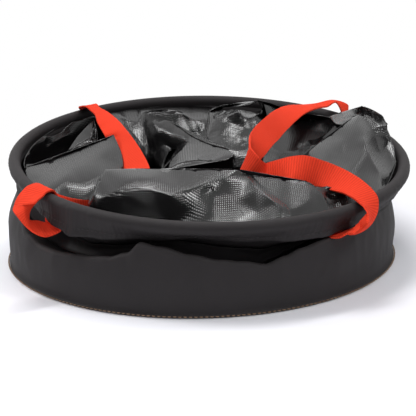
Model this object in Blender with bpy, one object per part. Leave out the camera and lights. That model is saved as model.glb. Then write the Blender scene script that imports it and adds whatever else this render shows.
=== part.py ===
"""Collapsible camp bucket in coated fabric, shown pushed down flat with its rim resting on its own folds.

Metres, +Z up. The origin is the middle of the underside of the base, and -Y is the side that faces a viewer.
The bucket is a round base, a standing lower wall, a folded upper wall, a hooped rim and two webbing handles.
"""

import math

import bmesh
import bpy
from mathutils import Matrix, Vector, geometry

# Driving sizes
RIM_RADIUS = 0.200
WALL_RADIUS = RIM_RADIUS * 0.9975
FOLDED_RIM_HEIGHT = 0.1024
FABRIC = 0.0009
HOOP_RADIUS = 0.0045
HOOP_BORE_RADIUS = 0.0032
WEBBING_THICKNESS = 0.0016
WEBBING_WIDTH = 0.025
HEM_DEPTH = 0.018
LOWER_WALL_HEIGHT = 0.060
SEAM_GAP = 0.0003

# Base
BASE_THICKNESS = 0.0012
BINDING_WIDTH = 0.0036
BINDING_HEIGHT = 0.0030
THREAD_RADIUS = 0.0004

# The rim, pushed a little aside and tilted towards the viewer
RIM_SHIFT_SHARES = (0.050, 0.025)
RIM_TILT = math.radians(7.27)
RIM_TILT_HEADING = math.radians(13)
SLEEVE_GAP = 0.0007
JOINER_ANGLE = 78
JOINER_GAP = 0.0003
HEM_THREAD_SHARE = 0.45

# The wall's sewn seam
SEAM_ANGLE = 80
SEAM_TAPE_WIDTH = 0.018
SEAM_TAPE_THICKNESS = 0.0006

# The handles' sewn ends
TAIL_TOP_GAP = 0.0010
TAIL_GAP = 0.0011
TAIL_DROP = 0.0022
HINGE_GAP = 0.0018
TACK_GAP = 0.0004
TACK_THICKNESS = 0.0005
TACK_MARGIN = 0.002

# Steps round the rim, round the base, round the hem's sleeve and along the webbing
RIM_STEPS = 60
WALL_STEPS = 90
SLEEVE_STEPS = 11
HOOP_SIDES = 8
STRAP_STEPS = 2
TAIL_STEPS = 4

# The lower wall's top edge, by angle, as a share of LOWER_WALL_HEIGHT
LOWER_TOP_SHARES = (
    (0, 1.06), (20, 1.10), (44, 1.05), (72, 1.12), (96, 1.04), (120, 1.10), (144, 1.04), (164, 1.12),
    (180, 1.18), (200, 1.05), (216, 0.78), (220, 0.73), (236, 0.76), (252, 0.90), (256, 1.06), (268, 0.90),
    (280, 0.78), (288, 0.69), (296, 0.87), (308, 0.98), (324, 1.04), (344, 1.00), (360, 1.06),
)
SHOULDER_DEPTH_SHARE = 0.10
SHOULDER_HEIGHT_SHARE = 0.22

# The hem's lower edge, by angle: how far out of the hoop's line and how far under it, as shares of HEM_DEPTH.
# In front it is one nearly straight crease
HEM_OUT_SHARES = (
    (0, -0.15), (125, -0.10), (180, -0.15), (204, -0.08), (216, 0.05), (222, 0.22), (228, 0.42), (234, 0.50),
    (240, 0.20), (252, -0.40), (267, -0.80), (282, -0.50), (294, -0.10), (300, 0.03), (306, 0.00),
    (324, -0.12), (360, -0.15),
)
HEM_DROP_SHARES = (
    (0, 0.80), (90, 0.82), (141, 0.84), (180, 0.80), (204, 0.74), (216, 0.82), (222, 0.95), (228, 1.10),
    (234, 1.20), (240, 1.12), (252, 0.98), (267, 0.85), (282, 0.92), (294, 1.00), (300, 1.03), (306, 0.94),
    (312, 0.86), (324, 0.80), (360, 0.80),
)

# The folds of the upper wall from above: their points and the sharp lines through them, in two-hundredths of
# RIM_RADIUS across, along and up
FOLDS = {
    "front": (
        {"a0": (-86, -115, 113), "a1": (-59, -113, 113), "a2": (-31, -112, 112), "a3": (-3, -111, 111),
         "a4": (21, -111, 110), "a5": (37, -111, 110), "a6": (43, -112, 106), "a7": (48, -113, 105),
         "a8": (61, -114, 104), "a9": (79, -116, 102), "a10": (97, -120, 100), "a11": (111, -132, 94),
         "e1": (-90, -134, 108), "e2": (-93, -152, 98), "c0": (-89, -160, 93), "c1": (-81, -159, 100),
         "c2": (-72, -156, 104), "c3": (-60, -153, 105), "c4": (-47, -153, 104), "c5": (-36, -156, 102),
         "c6": (-25, -160, 99), "c7": (-13, -151, 100), "c8": (5, -137, 103), "c9": (24, -123, 105),
         "d1": (-67, -169, 93), "d2": (-42, -171, 92), "d3": (-8, -166, 91), "w1": (5, -152, 98),
         "w2": (21, -168, 90), "x1": (13, -148, 100), "x2": (30, -162, 93), "x3": (44, -173, 87),
         "y1": (29, -140, 101), "y2": (44, -156, 93), "y3": (58, -168, 86), "r1": (46, -119, 101),
         "r2": (51, -130, 96), "r3": (61, -145, 92), "r4": (71, -159, 87), "g1": (48, -121, 102),
         "g2": (55, -134, 96), "g3": (65, -149, 91), "g4": (76, -162, 86), "q1": (52, -118, 101),
         "q2": (58, -130, 96), "q3": (70, -146, 90), "q4": (80, -159, 85), "p1": (82, -134, 93),
         "p2": (96, -148, 90), "p3": (105, -136, 93)},
        ("a0 a1 a2 a3 a4 a5 a6", "a6 a7 a8 a9 a10 a11", "a0 e1 e2", "c0 c1 c2 c3 c4 c5 c6",
         "c6 c7 c8 c9 a6", "a6 r1 r2 r3 r4", "a7 q1 q2 q3 q4",),
    ),
    "corner": (
        {"a10": (97, -120, 100), "a11": (111, -131, 94), "t1": (116, -122, 95), "t2": (134, -128, 87),
         "t3": (119, -122, 84)},
        ("t1 t2",),
    ),
    "left": (
        {"a0": (-177, -32, 98), "a1": (-154, -15, 101), "a2": (-126, 8, 108), "a3": (-97, 27, 116),
         "a4": (-92, 30, 118), "b1": (-85, 10, 111), "b2": (-79, -10, 103), "b3": (-77, -32, 95),
         "b4": (-85, -66, 90), "b5": (-92, -80, 83), "b6": (-99, -89, 78), "m1": (-152, -60, 96),
         "m2": (-128, -48, 100), "m3": (-105, -22, 106), "m4": (-128, -80, 93), "m5": (-102, -66, 96),
         "m6": (-109, -80, 88), "m7": (-140, -84, 94), "n1": (-136, -97, 84), "n2": (-122, -86, 76),
         "n3": (-110, -92, 77)},
        ("a0 a1 a2 a3 a4", "a4 b1 b2 b3",),
    ),
    "pocket": (
        {"a0": (-173, -24, 96), "a1": (-156, -2, 95), "a2": (-128, 24, 101), "a3": (-104, 40, 108),
         "a4": (-96, 50, 113), "d0": (-170, 8, 108), "d1": (-166, 40, 114), "d2": (-160, 62, 119),
         "d3": (-145, 72, 119), "d4": (-132, 80, 119), "d5": (-147, 36, 112), "d6": (-158, 16, 109),
         "d7": (-155, 52, 114), "k0": (-116, 76, 129), "k1": (-113, 66, 119), "k2": (-111, 48, 109),
         "k3": (-122, 70, 119), "k4": (-131, 52, 111), "k5": (-141, 26, 102), "k6": (-111, 84, 124),
         "k7": (-105, 66, 114), "k8": (-100, 92, 119)},
        ("d0 d1 d2 d3 d4", "d0 d6 d5 d4", "k0 k1 k2", "k0 k3 k4 k5", "k6 k7",),
    ),
    "back_left": (
        {"a0": (-111, 112, 118), "a1": (-95, 140, 124), "a2": (-74, 128, 116), "a3": (-71, 150, 121),
         "a4": (-65, 160, 123), "a5": (-45, 164, 123), "a6": (-24, 160, 122), "a7": (-19, 152, 120),
         "a8": (-5, 128, 114), "a9": (5, 152, 119), "a10": (15, 120, 115), "b0": (-93, 92, 114),
         "b1": (-80, 104, 109), "b2": (-68, 126, 112), "b3": (-59, 84, 93), "b4": (-60, 60, 89),
         "b5": (-70, 86, 101), "b6": (-59, 140, 117), "b7": (-49, 116, 109), "b8": (-37, 126, 118),
         "b9": (-21, 112, 112), "b10": (-15, 88, 103), "b11": (-32, 80, 101), "b12": (-44, 40, 90),
         "b13": (-51, 14, 86), "b14": (-69, 4, 88), "b15": (-82, 36, 100), "b16": (8, 100, 103),
         "b17": (-2, 112, 109), "b18": (-16, 70, 101), "b19": (7, 116, 108), "b20": (-26, 30, 91),
         "b21": (-39, 2, 86)},
        ("a3 a4 a5 a6 a7 a8 a9", "a3 b2 b3 b4", "a1 a2 a3", "b8 b9 b10", "a8 b17 b16", "b1 b5 b4",),
    ),
    "fin": (
        {"f0": (-16, 80, 101), "f1": (-4, 66, 101), "f2": (11, 44, 101), "f3": (26, 22, 100),
         "f4": (35, 10, 100), "f5": (34, 4, 96), "f6": (17, 4, 94), "f7": (0, 4, 92), "f8": (-16, 2, 92),
         "f9": (-31, -8, 90), "f10": (-38, -12, 89), "f11": (-30, 8, 93), "f12": (-22, 42, 96),
         "f13": (0, 36, 96), "f14": (-11, 22, 94), "f15": (15, 22, 97)},
        ("f0 f1 f2 f3 f4", "f4 f5", "f5 f6 f7 f8 f9 f10", "f10 f11 f12 f0",),
    ),
    "peak": (
        {"a0": (8, 100, 100), "a1": (15, 118, 115), "a2": (26, 116, 119), "a3": (35, 112, 124),
         "a4": (52, 106, 134), "a5": (60, 102, 138), "a6": (67, 100, 141), "a7": (74, 106, 139),
         "a8": (86, 114, 134), "a9": (98, 120, 129), "b0": (64, 90, 128), "b1": (59, 80, 113),
         "b2": (55, 72, 106), "b3": (54, 44, 93), "b4": (51, 12, 85), "b5": (40, 40, 93),
         "b6": (38, 12, 84), "b7": (36, 66, 101), "b8": (24, 60, 98), "c0": (23, 96, 114),
         "c1": (41, 90, 122), "c2": (48, 78, 114), "c3": (35, 84, 110), "c4": (21, 96, 106),
         "c5": (45, 68, 104), "c6": (14, 104, 108), "c7": (32, 100, 117), "c8": (52, 86, 127),
         "d0": (78, 96, 122), "d1": (72, 76, 107), "d2": (68, 44, 93), "d3": (66, 10, 85),
         "d4": (97, 108, 119)},
        ("a1 a2 a3 a4 a5 a6", "a6 b0 b1 b2", "a6 a7 a8 a9", "a0 c6 c0 c1", "c4 c3 c2", "c7 c3", "b2 b3 b4",
         "b5 b6", "a0 b8 b5",),
    ),
    "hollow": (
        {"a0": (84, 112, 126), "a1": (102, 112, 122), "a2": (128, 112, 120), "a3": (152, 104, 117),
         "a4": (162, 80, 124), "b0": (72, 84, 112), "b1": (87, 92, 118), "b2": (101, 96, 120),
         "b3": (126, 98, 119), "b4": (150, 88, 114), "b5": (144, 66, 110), "b6": (132, 48, 108),
         "b7": (116, 54, 107), "b8": (106, 52, 106), "b9": (98, 72, 111), "c0": (68, 50, 99),
         "c1": (65, 8, 88), "c2": (80, 4, 91), "c3": (94, 0, 93), "c4": (107, -6, 98),
         "c5": (118, 10, 104), "c6": (133, 26, 109), "c7": (147, 46, 113), "c8": (162, 62, 119),
         "c9": (114, 38, 100), "c10": (99, 30, 98), "c11": (85, 46, 99)},
        ("b1 b2 b3 b4 b5 b6 b7 b8", "b2 b9 b8",),
    ),
    "hump": (
        {"a0": (106, -34, 105), "a1": (113, -22, 109), "a2": (124, -10, 114), "a3": (137, 4, 119),
         "a4": (150, 18, 125), "a5": (163, 32, 131), "a6": (170, 33, 134), "a7": (173, 27, 132),
         "a8": (182, 15, 128), "a9": (190, 6, 127), "a10": (195, 4, 126), "b0": (198, -6, 117),
         "b1": (200, -14, 108), "b2": (198, -34, 97), "b3": (188, -58, 89), "b4": (179, -76, 84),
         "c0": (105, -56, 99), "c1": (113, -84, 96), "c2": (126, -104, 90), "v0": (167, -14, 120),
         "v1": (167, -38, 110), "v2": (172, -54, 100), "v3": (176, -68, 92), "m0": (131, -34, 112),
         "m1": (148, -20, 117), "m2": (123, -58, 105), "m3": (143, -52, 106), "m4": (146, -80, 98),
         "m5": (134, -82, 97), "m6": (184, -12, 115), "m7": (187, -36, 101), "m8": (160, -76, 97),
         "m9": (162, 6, 128), "m10": (179, 2, 123)},
        ("a0 a1 a2 a3 a4 a5", "a5 a6 a7 a8 a9 a10", "a10 b0 b1 b2", "b2 b3 b4", "v0 v1 v2 v3 b4",),
    ),
    "hump_top": (
        {"a0": (177, 54, 140), "a1": (186, 46, 137), "a2": (195, 26, 133), "a3": (196, 8, 128),
         "a4": (195, 5, 125), "b0": (167, 64, 135), "b1": (158, 76, 130), "b2": (147, 88, 124),
         "c0": (163, 34, 131), "c1": (171, 34, 134), "c2": (174, 28, 132), "c3": (182, 16, 128),
         "c4": (190, 7, 127), "d0": (181, 47, 134), "d1": (187, 34, 132), "d2": (191, 22, 130),
         "d3": (173, 52, 134), "e0": (152, 30, 124), "e1": (147, 52, 121), "e2": (156, 56, 126),
         "g0": (184, 49, 138), "g1": (187, 30, 131)},
        ("b2 b1 b0 a0", "a0 a1 a2 a3", "a0 d0 d1", "a1 g1 c3", "c0 c1 c2 c3 c4", "a0 d3 c0",),
    ),
    "trough": (
        {"t0": (-88, -86, 42), "t1": (-99, -97, 44), "t2": (-112, -102, 45), "t3": (-121, -112, 48), "t4": (-128, -121, 56)},
        ("t0 t1 t2 t3 t4",),
    ),
}

# The edge of the opening that the folds leave in the middle, going round from the front's left end
MOUTH = (
    ("front", "a0 a1 a2 a3 a4 a5 a6 a7 a8 a9 a10"),
    ("corner", "t1"),
    ("hump", "c2 c1 c0 a0"),
    ("hollow", "c4 c3 c2 c1"),
    ("peak", "b4 b6"),
    ("fin", "f5 f6 f7 f8 f9 f10"),
    ("back_left", "b21 b13 b15"),
    ("left", "a4 b1 b2 b3 b4"),
    ("trough", "t0"),
)
MOUTH_MIDDLE = (0, -50)
FOLD_UNITS = 200
FOLD_RING_STEPS = 60
FOLD_RING_INSET = 0.0110
FOLD_RING_DROP = 0.0050
FOLD_EDGE_GAP = 0.0040
FOLD_SPACING_SHARE = 0.0225
FOLD_EDGE_LENGTH = 0.012
SKIRT_REACH_SHARE = 0.95
SKIRT_LIFT = 0.0075
SKIRT_WIDTH = 0.0055
SKIRT_START = 0.018
MOUTH_DROP = 0.026
MOUTH_SPREAD = 0.008
UNDER_REACH_SHARE = 0.74
UNDER_HEIGHT_SHARE = 0.70
PRESS_REACH = 0.0065
PRESS_DEPTH = 0.0032
PRESS_SLOPE = 1.6
TUCK_REACH_SHARE = 0.78
TUCK_HEIGHT_SHARE = 0.20
RISE_REACH_SHARE = 0.90
RISE_HEIGHT_SHARE = 0.62
LIP_HEIGHT = 0.0022

# Where each handle is sewn in, front end first, as angles round the rim
HANDLE_ANGLES = {"left": (225.5, 125.5), "right": (305.5, 45.5)}

# The webbing's two edges between its sewn ends, front end first, lower edge then upper edge,
# as shares of RIM_RADIUS across, RIM_RADIUS along and FOLDED_RIM_HEIGHT up
WEBBING_SHARES = {
    "left": (
        ((-0.740, -0.661, 0.683), (-0.684, -0.765, 0.599)),
        ((-0.777, -0.678, 0.705), (-0.728, -0.789, 0.646)),
        ((-0.765, -0.684, 0.797), (-0.764, -0.804, 0.725)),
        ((-0.733, -0.700, 0.874), (-0.798, -0.801, 0.811)),
        ((-0.713, -0.737, 0.918), (-0.824, -0.758, 0.832)),
        ((-0.723, -0.778, 0.908), (-0.826, -0.713, 0.853)),
        ((-0.710, -0.743, 0.924), (-0.818, -0.680, 0.906)),
        ((-0.696, -0.710, 0.935), (-0.802, -0.643, 0.946)),
        ((-0.683, -0.683, 0.956), (-0.779, -0.606, 0.978)),
        ((-0.654, -0.647, 0.944), (-0.740, -0.562, 0.976)),
        ((-0.635, -0.616, 0.806), (-0.705, -0.520, 0.877)),
        ((-0.635, -0.588, 0.670), (-0.663, -0.484, 0.793)),
        ((-0.614, -0.548, 0.572), (-0.606, -0.468, 0.755)),
        ((-0.566, -0.502, 0.533), (-0.563, -0.513, 0.773)),
        ((-0.510, -0.462, 0.549), (-0.504, -0.510, 0.773)),
        ((-0.451, -0.413, 0.589), (-0.452, -0.460, 0.815)),
        ((-0.399, -0.356, 0.639), (-0.406, -0.399, 0.867)),
        ((-0.358, -0.291, 0.693), (-0.361, -0.336, 0.920)),
        ((-0.336, -0.221, 0.751), (-0.317, -0.272, 0.970)),
        ((-0.341, -0.155, 0.820), (-0.283, -0.202, 1.014)),
        ((-0.367, -0.104, 0.906), (-0.270, -0.125, 1.061)),
        ((-0.377, -0.042, 0.953), (-0.291, -0.060, 1.127)),
        ((-0.385, 0.025, 0.986), (-0.322, 0.004, 1.193)),
        ((-0.402, 0.095, 1.024), (-0.355, 0.073, 1.247)),
        ((-0.426, 0.166, 1.062), (-0.387, 0.148, 1.289)),
        ((-0.485, 0.220, 1.131), (-0.402, 0.235, 1.293)),
        ((-0.527, 0.288, 1.192), (-0.414, 0.322, 1.261)),
        ((-0.558, 0.364, 1.243), (-0.442, 0.408, 1.257)),
        ((-0.590, 0.440, 1.272), (-0.476, 0.492, 1.269)),
        ((-0.624, 0.509, 1.304), (-0.516, 0.571, 1.284)),
        ((-0.660, 0.570, 1.332), (-0.560, 0.642, 1.300)),
        ((-0.701, 0.619, 1.311), (-0.608, 0.701, 1.309)),
        ((-0.710, 0.654, 1.292), (-0.616, 0.737, 1.302)),
        ((-0.715, 0.688, 1.275), (-0.623, 0.771, 1.295)),
        ((-0.713, 0.719, 1.246), (-0.621, 0.802, 1.278)),
        ((-0.696, 0.744, 1.202), (-0.606, 0.828, 1.246)),
        ((-0.669, 0.762, 1.161), (-0.581, 0.847, 1.210)),
        ((-0.640, 0.779, 1.128), (-0.549, 0.862, 1.173)),
        ((-0.622, 0.810, 1.091), (-0.523, 0.886, 1.110)),
    ),
    "right": (
        ((0.707, -0.768, 0.649), (0.607, -0.839, 0.584)),
        ((0.725, -0.777, 0.654), (0.634, -0.863, 0.629)),
        ((0.742, -0.794, 0.704), (0.660, -0.883, 0.643)),
        ((0.732, -0.821, 0.781), (0.649, -0.831, 0.604)),
        ((0.723, -0.878, 0.725), (0.701, -0.779, 0.587)),
        ((0.730, -0.847, 0.790), (0.756, -0.753, 0.636)),
        ((0.718, -0.813, 0.840), (0.791, -0.727, 0.734)),
        ((0.708, -0.783, 0.848), (0.798, -0.704, 0.844)),
        ((0.682, -0.749, 0.880), (0.783, -0.676, 0.905)),
        ((0.659, -0.711, 0.892), (0.758, -0.640, 0.950)),
        ((0.640, -0.674, 0.895), (0.727, -0.603, 0.992)),
        ((0.603, -0.627, 0.894), (0.680, -0.564, 1.041)),
        ((0.568, -0.577, 0.890), (0.624, -0.533, 1.087)),
        ((0.524, -0.539, 0.906), (0.563, -0.511, 1.128)),
        ((0.471, -0.549, 0.950), (0.499, -0.494, 1.159)),
        ((0.420, -0.559, 0.974), (0.438, -0.472, 1.145)),
        ((0.376, -0.529, 0.920), (0.378, -0.449, 1.109)),
        ((0.322, -0.507, 0.875), (0.322, -0.431, 1.072)),
        ((0.264, -0.506, 0.888), (0.306, -0.474, 1.094)),
        ((0.211, -0.495, 0.950), (0.280, -0.510, 1.154)),
        ((0.193, -0.442, 1.001), (0.246, -0.468, 1.222)),
        ((0.226, -0.389, 1.004), (0.241, -0.410, 1.239)),
        ((0.271, -0.332, 1.024), (0.244, -0.341, 1.261)),
        ((0.313, -0.270, 1.063), (0.250, -0.265, 1.273)),
        ((0.347, -0.198, 1.103), (0.264, -0.182, 1.284)),
        ((0.376, -0.116, 1.124), (0.289, -0.095, 1.307)),
        ((0.404, -0.026, 1.127), (0.322, -0.004, 1.323)),
        ((0.442, 0.069, 1.160), (0.357, 0.094, 1.339)),
        ((0.483, 0.165, 1.191), (0.389, 0.197, 1.341)),
        ((0.527, 0.262, 1.223), (0.425, 0.305, 1.336)),
        ((0.575, 0.356, 1.255), (0.471, 0.412, 1.331)),
        ((0.629, 0.445, 1.273), (0.528, 0.516, 1.313)),
        ((0.687, 0.522, 1.279), (0.599, 0.610, 1.286)),
        ((0.740, 0.570, 1.276), (0.685, 0.683, 1.275)),
        ((0.803, 0.629, 1.296), (0.789, 0.716, 1.302)),
        ((0.865, 0.699, 1.044), (0.882, 0.743, 1.241)),
        ((0.877, 0.706, 0.950), (0.874, 0.789, 1.132)),
        ((0.865, 0.747, 0.867), (0.826, 0.819, 1.052)),
        ((0.808, 0.746, 0.820), (0.763, 0.821, 0.993)),
    ),
}


def clear_scene():
    for item in list(bpy.data.objects):
        bpy.data.objects.remove(item)


def material(name, color, roughness):
    made = bpy.data.materials.new(name)
    made.use_nodes = True
    shader = made.node_tree.nodes["Principled BSDF"]
    shader.inputs["Base Color"].default_value = (*color, 1)
    shader.inputs["Roughness"].default_value = roughness
    shader.inputs["Metallic"].default_value = 0
    return made


def polar(angle, radius, height):
    """The point at an angle in degrees, a radius and a height."""
    turn = math.radians(angle)
    return Vector((radius * math.cos(turn), radius * math.sin(turn), height))


def from_shares(shares):
    across, along, up = shares
    return Vector((across * RIM_RADIUS, along * RIM_RADIUS, up * FOLDED_RIM_HEIGHT))


def at_angle(table, angle):
    """A value from a table of (angle, value) rows that goes once round."""
    angle %= 360
    for (before, low), (after, high) in zip(table, table[1:]):
        if before <= angle <= after:
            part = (angle - before) / (after - before)
            return low + (high - low) * part
    return table[-1][1]


def rim_shift():
    return [RIM_RADIUS * share for share in RIM_SHIFT_SHARES]


def rim_place():
    """Where the rim lies when the bucket is folded."""
    axis = Vector((math.cos(RIM_TILT_HEADING), math.sin(RIM_TILT_HEADING), 0))
    return Matrix.Translation((*rim_shift(), FOLDED_RIM_HEIGHT)) @ Matrix.Rotation(RIM_TILT, 4, axis)


def add_mesh(name, points, faces, finish, pivot=None, sharp_angle=40):
    """An object from points in the pivot's own frame, or in the world where there is no pivot."""
    mesh = bpy.data.meshes.new(name)
    mesh.from_pydata([tuple(point) for point in points], [], faces)
    mesh.materials.append(finish)
    mesh.shade_smooth()
    mesh.set_sharp_from_angle(angle=math.radians(sharp_angle))
    made = bpy.data.objects.new(name, mesh)
    bpy.context.scene.collection.objects.link(made)
    made.parent = pivot
    return made


def grid_faces(rows, columns, rows_close, columns_close):
    """Quads between rows of points that are listed one row after another."""
    faces = []
    for row in range(rows if rows_close else rows - 1):
        for column in range(columns if columns_close else columns - 1):
            next_row = (row + 1) % rows
            next_column = (column + 1) % columns
            faces.append(
                (
                    row * columns + column,
                    row * columns + next_column,
                    next_row * columns + next_column,
                    next_row * columns + column,
                )
            )
    return faces


def loft(name, sections, finish, pivot=None, ring=True):
    """A solid through closed sections of equally many points, joined end to end or capped."""
    count = len(sections[0])
    points = [point for section in sections for point in section]
    faces = grid_faces(len(sections), count, ring, True)
    if not ring:
        faces.append(tuple(reversed(range(count))))
        faces.append(tuple(range(len(points) - count, len(points))))
    return add_mesh(name, points, faces, finish, pivot)


def sheet(name, rows, thickness, finish, pivot=None, around=False, offset=0, sharp_angle=40):
    """A sheet of one thickness through rows of points. Around closes each row on itself."""
    points = [point for row in rows for point in row]
    faces = grid_faces(len(rows), len(rows[0]), False, around)
    made = add_mesh(name, points, faces, finish, pivot, sharp_angle)
    solid = made.modifiers.new("thickness", "SOLIDIFY")
    solid.thickness = thickness
    solid.offset = offset
    return made


def pivot_at(name, place, parent=None):
    """An empty on a joint's axis. Its place is in the world."""
    made = bpy.data.objects.new(name, None)
    bpy.context.scene.collection.objects.link(made)
    made.empty_display_size = HEM_DEPTH
    made.parent = parent
    made.matrix_world = place
    bpy.context.view_layer.update()
    return made


def ring_steps(count, start=0):
    return [start + 360 * step / count for step in range(count)]


def circle(angle, ring_radius, radius, sides):
    """A closed section of a ring's tube, in the ring's own frame, turning from its top to its outside."""
    section = []
    for side in range(sides):
        turn = 2 * math.pi * (side + 0.5) / sides
        section.append(polar(angle, ring_radius + radius * math.sin(turn), radius * math.cos(turn)))
    return section


def lower_top(angle):
    """The height of the lower wall's top edge."""
    return LOWER_WALL_HEIGHT * at_angle(LOWER_TOP_SHARES, angle)


def hem_line(angle):
    """The hem's direction down from the hoop, its outward side and its length, in the plane of the section."""
    out = HEM_DEPTH * at_angle(HEM_OUT_SHARES, angle)
    drop = HEM_DEPTH * at_angle(HEM_DROP_SHARES, angle)
    length = math.hypot(out, drop)
    down = Vector((out / length, -drop / length))
    return down, Vector((-down.y, down.x)), length


SLEEVE_INNER = HOOP_RADIUS + SLEEVE_GAP
SLEEVE_OUTER = SLEEVE_INNER + FABRIC


def arc(down, side, radius, half_opening, steps):
    """Points over the top of a circle, from its outward opening edge round to its inward one."""
    start = math.asin(half_opening / radius)
    found = []
    for step in range(steps + 1):
        turn = start + (2 * math.pi - 2 * start) * step / steps
        found.append(down * (radius * math.cos(turn)) + side * (radius * math.sin(turn)))
    return found


def hem_thread_depth(angle):
    _, _, length = hem_line(angle)
    return SLEEVE_OUTER + (length - SLEEVE_OUTER) * HEM_THREAD_SHARE


def hem_section(angle):
    """The sleeve round the hoop and the doubled hem that hangs from it, open between its two layers."""
    down, side, length = hem_line(angle)
    outer_side = SEAM_GAP / 2 + FABRIC
    inner_side = SEAM_GAP / 2
    stitched = hem_thread_depth(angle)
    flat = [down * length + side * outer_side, down * stitched + side * outer_side]
    flat += arc(down, side, SLEEVE_OUTER, outer_side, SLEEVE_STEPS)
    flat += [down * stitched - side * outer_side, down * length - side * outer_side]
    flat += [down * length - side * inner_side, down * stitched - side * inner_side]
    flat += reversed(arc(down, side, SLEEVE_INNER, inner_side, SLEEVE_STEPS))
    flat += [down * stitched + side * inner_side, down * length + side * inner_side]
    return [polar(angle, RIM_RADIUS + point.x, point.y) for point in reversed(flat)]


def hem_side_point(angle, depth, side_offset):
    """A point beside the hem, in the rim's frame: depth down from the hoop and side_offset outward of its middle."""
    down, side, _ = hem_line(angle)
    flat = down * depth + side * side_offset
    return polar(angle, RIM_RADIUS + flat.x, flat.y)


def build_base(coated, thread):
    inner = WALL_RADIUS - BINDING_WIDTH / 2
    panel = [
        [polar(angle, inner - SEAM_GAP, height) for angle in ring_steps(WALL_STEPS)]
        for height in (0, BASE_THICKNESS)
    ]
    loft("base_panel", panel, coated, ring=False)
    outer = inner + BINDING_WIDTH
    edge = BINDING_HEIGHT / 4
    profile = (
        (inner, BINDING_HEIGHT), (outer - edge, BINDING_HEIGHT), (outer, BINDING_HEIGHT - edge),
        (outer, edge), (outer - edge, 0), (inner, 0),
    )
    sections = [[polar(angle, radius, height) for radius, height in profile] for angle in ring_steps(WALL_STEPS)]
    loft("base_binding", sections, coated)
    row = outer + SEAM_GAP + THREAD_RADIUS
    threads = [
        [point + Vector((0, 0, BINDING_HEIGHT / 2)) for point in circle(angle, row, THREAD_RADIUS, 4)]
        for angle in ring_steps(WALL_STEPS)
    ]
    loft("base_stitching", threads, thread)


def build_lower_wall(coated):
    rows = []
    for share in (0, 0.35, 1 - SHOULDER_HEIGHT_SHARE, 1 - SHOULDER_HEIGHT_SHARE / 3, 1):
        row = []
        for angle in ring_steps(WALL_STEPS):
            top = lower_top(angle)
            bottom = BINDING_HEIGHT + SEAM_GAP
            past = max(0, share - (1 - SHOULDER_HEIGHT_SHARE)) / SHOULDER_HEIGHT_SHARE
            depth = LOWER_WALL_HEIGHT * SHOULDER_DEPTH_SHARE * past**2
            row.append(polar(angle, WALL_RADIUS - depth, bottom + (top - bottom) * share))
        rows.append(row)
    sheet("lower_wall", rows, FABRIC, coated, around=True, offset=-1)


def build_seam_tape(coated):
    """The welded strip that closes the wall into a tube, on its inside."""
    half = math.degrees(SEAM_TAPE_WIDTH / 2 / WALL_RADIUS)
    radius = WALL_RADIUS - FABRIC - 2 * SEAM_GAP
    bottom = BINDING_HEIGHT + SEAM_GAP
    top = LOWER_WALL_HEIGHT * (1 - SHOULDER_HEIGHT_SHARE)
    rows = [
        [polar(SEAM_ANGLE + half * step, radius, height) for step in (-1, -0.5, 0, 0.5, 1)]
        for height in (bottom, (bottom + top) / 2, top)
    ]
    sheet("wall_seam_tape", rows, SEAM_TAPE_THICKNESS, coated, offset=-1)


def gather_folds(rim):
    """The folds' points and sharp lines as (points, pairs, mouth), the ring inside the hem being the first points."""
    points = [
        rim @ polar(angle, RIM_RADIUS - FOLD_RING_INSET, -FOLD_RING_DROP) for angle in ring_steps(FOLD_RING_STEPS)
    ]
    pairs = [(step, (step + 1) % FOLD_RING_STEPS) for step in range(FOLD_RING_STEPS)]
    middle = Vector(rim_shift())
    farthest = RIM_RADIUS - FOLD_RING_INSET - FOLD_EDGE_GAP
    apart = RIM_RADIUS * FOLD_SPACING_SHARE
    found = {}
    for name, (places, lines) in FOLDS.items():
        for label, shares in places.items():
            point = Vector(shares) * (RIM_RADIUS / FOLD_UNITS)
            flat = point.xy - middle
            if flat.length > farthest:
                point.xy = middle + flat.normalized() * farthest
            near = [index for index in range(FOLD_RING_STEPS, len(points)) if (points[index].xy - point.xy).length < apart]
            if near:
                points[near[0]].z = max(points[near[0]].z, point.z)
            else:
                near = [len(points)]
                points.append(point)
            found[name, label] = near[0]
        for line in lines:
            run = [found[name, label] for label in line.split()]
            pairs += [pair for pair in zip(run, run[1:]) if pair[0] != pair[1]]
    mouth = [found[name, label] for name, labels in MOUTH for label in labels.split()]
    pairs += zip(mouth, mouth[1:] + mouth[:1])
    return points, pairs, mouth


def inside(point, corners):
    """Whether a flat point lies in a flat outline."""
    within = False
    for a, b in zip(corners, corners[1:] + corners[:1]):
        if (a.y > point.y) != (b.y > point.y) and point.x < a.x + (point.y - a.y) / (b.y - a.y) * (b.x - a.x):
            within = not within
    return within


def height_on_line(flat, points, pairs):
    """The height of a crossing of two sharp lines: the higher one's."""
    heights = []
    for a, b in pairs:
        start, end = points[a], points[b]
        near, share = geometry.intersect_point_line(flat, start.xy, end.xy)
        if 0 <= share <= 1 and (near.xy - flat).length < FABRIC / 10:
            heights.append(start.z + (end.z - start.z) * share)
    return max(heights)


def webbing_samples(rim):
    """Points all over the webbing that lies inside the rim."""
    middle = Vector(rim_shift())
    samples = []
    for side in HANDLE_ANGLES:
        edges = []
        for edge in range(2):
            edges.append(smooth_run([from_shares(pair[edge]) for pair in WEBBING_SHARES[side]], STRAP_STEPS))
        for low, high in zip(*edges):
            for share in (0, 0.25, 0.5, 0.75, 1):
                point = low.lerp(high, share)
                if (point.xy - middle).length < RIM_RADIUS - SLEEVE_OUTER:
                    samples.append(point)
    return samples


def press_under(verts, samples):
    """Presses the folds down wherever webbing lies on them."""
    for vert in verts:
        for sample in samples:
            apart = (vert.co.xy - sample.xy).length
            limit = sample.z - PRESS_DEPTH + max(0, apart - PRESS_REACH) * PRESS_SLOPE
            vert.co.z = min(vert.co.z, limit)


def vert_at(made, flat):
    return min(made.verts, key=lambda vert: (vert.co.xy - flat).length)


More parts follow.
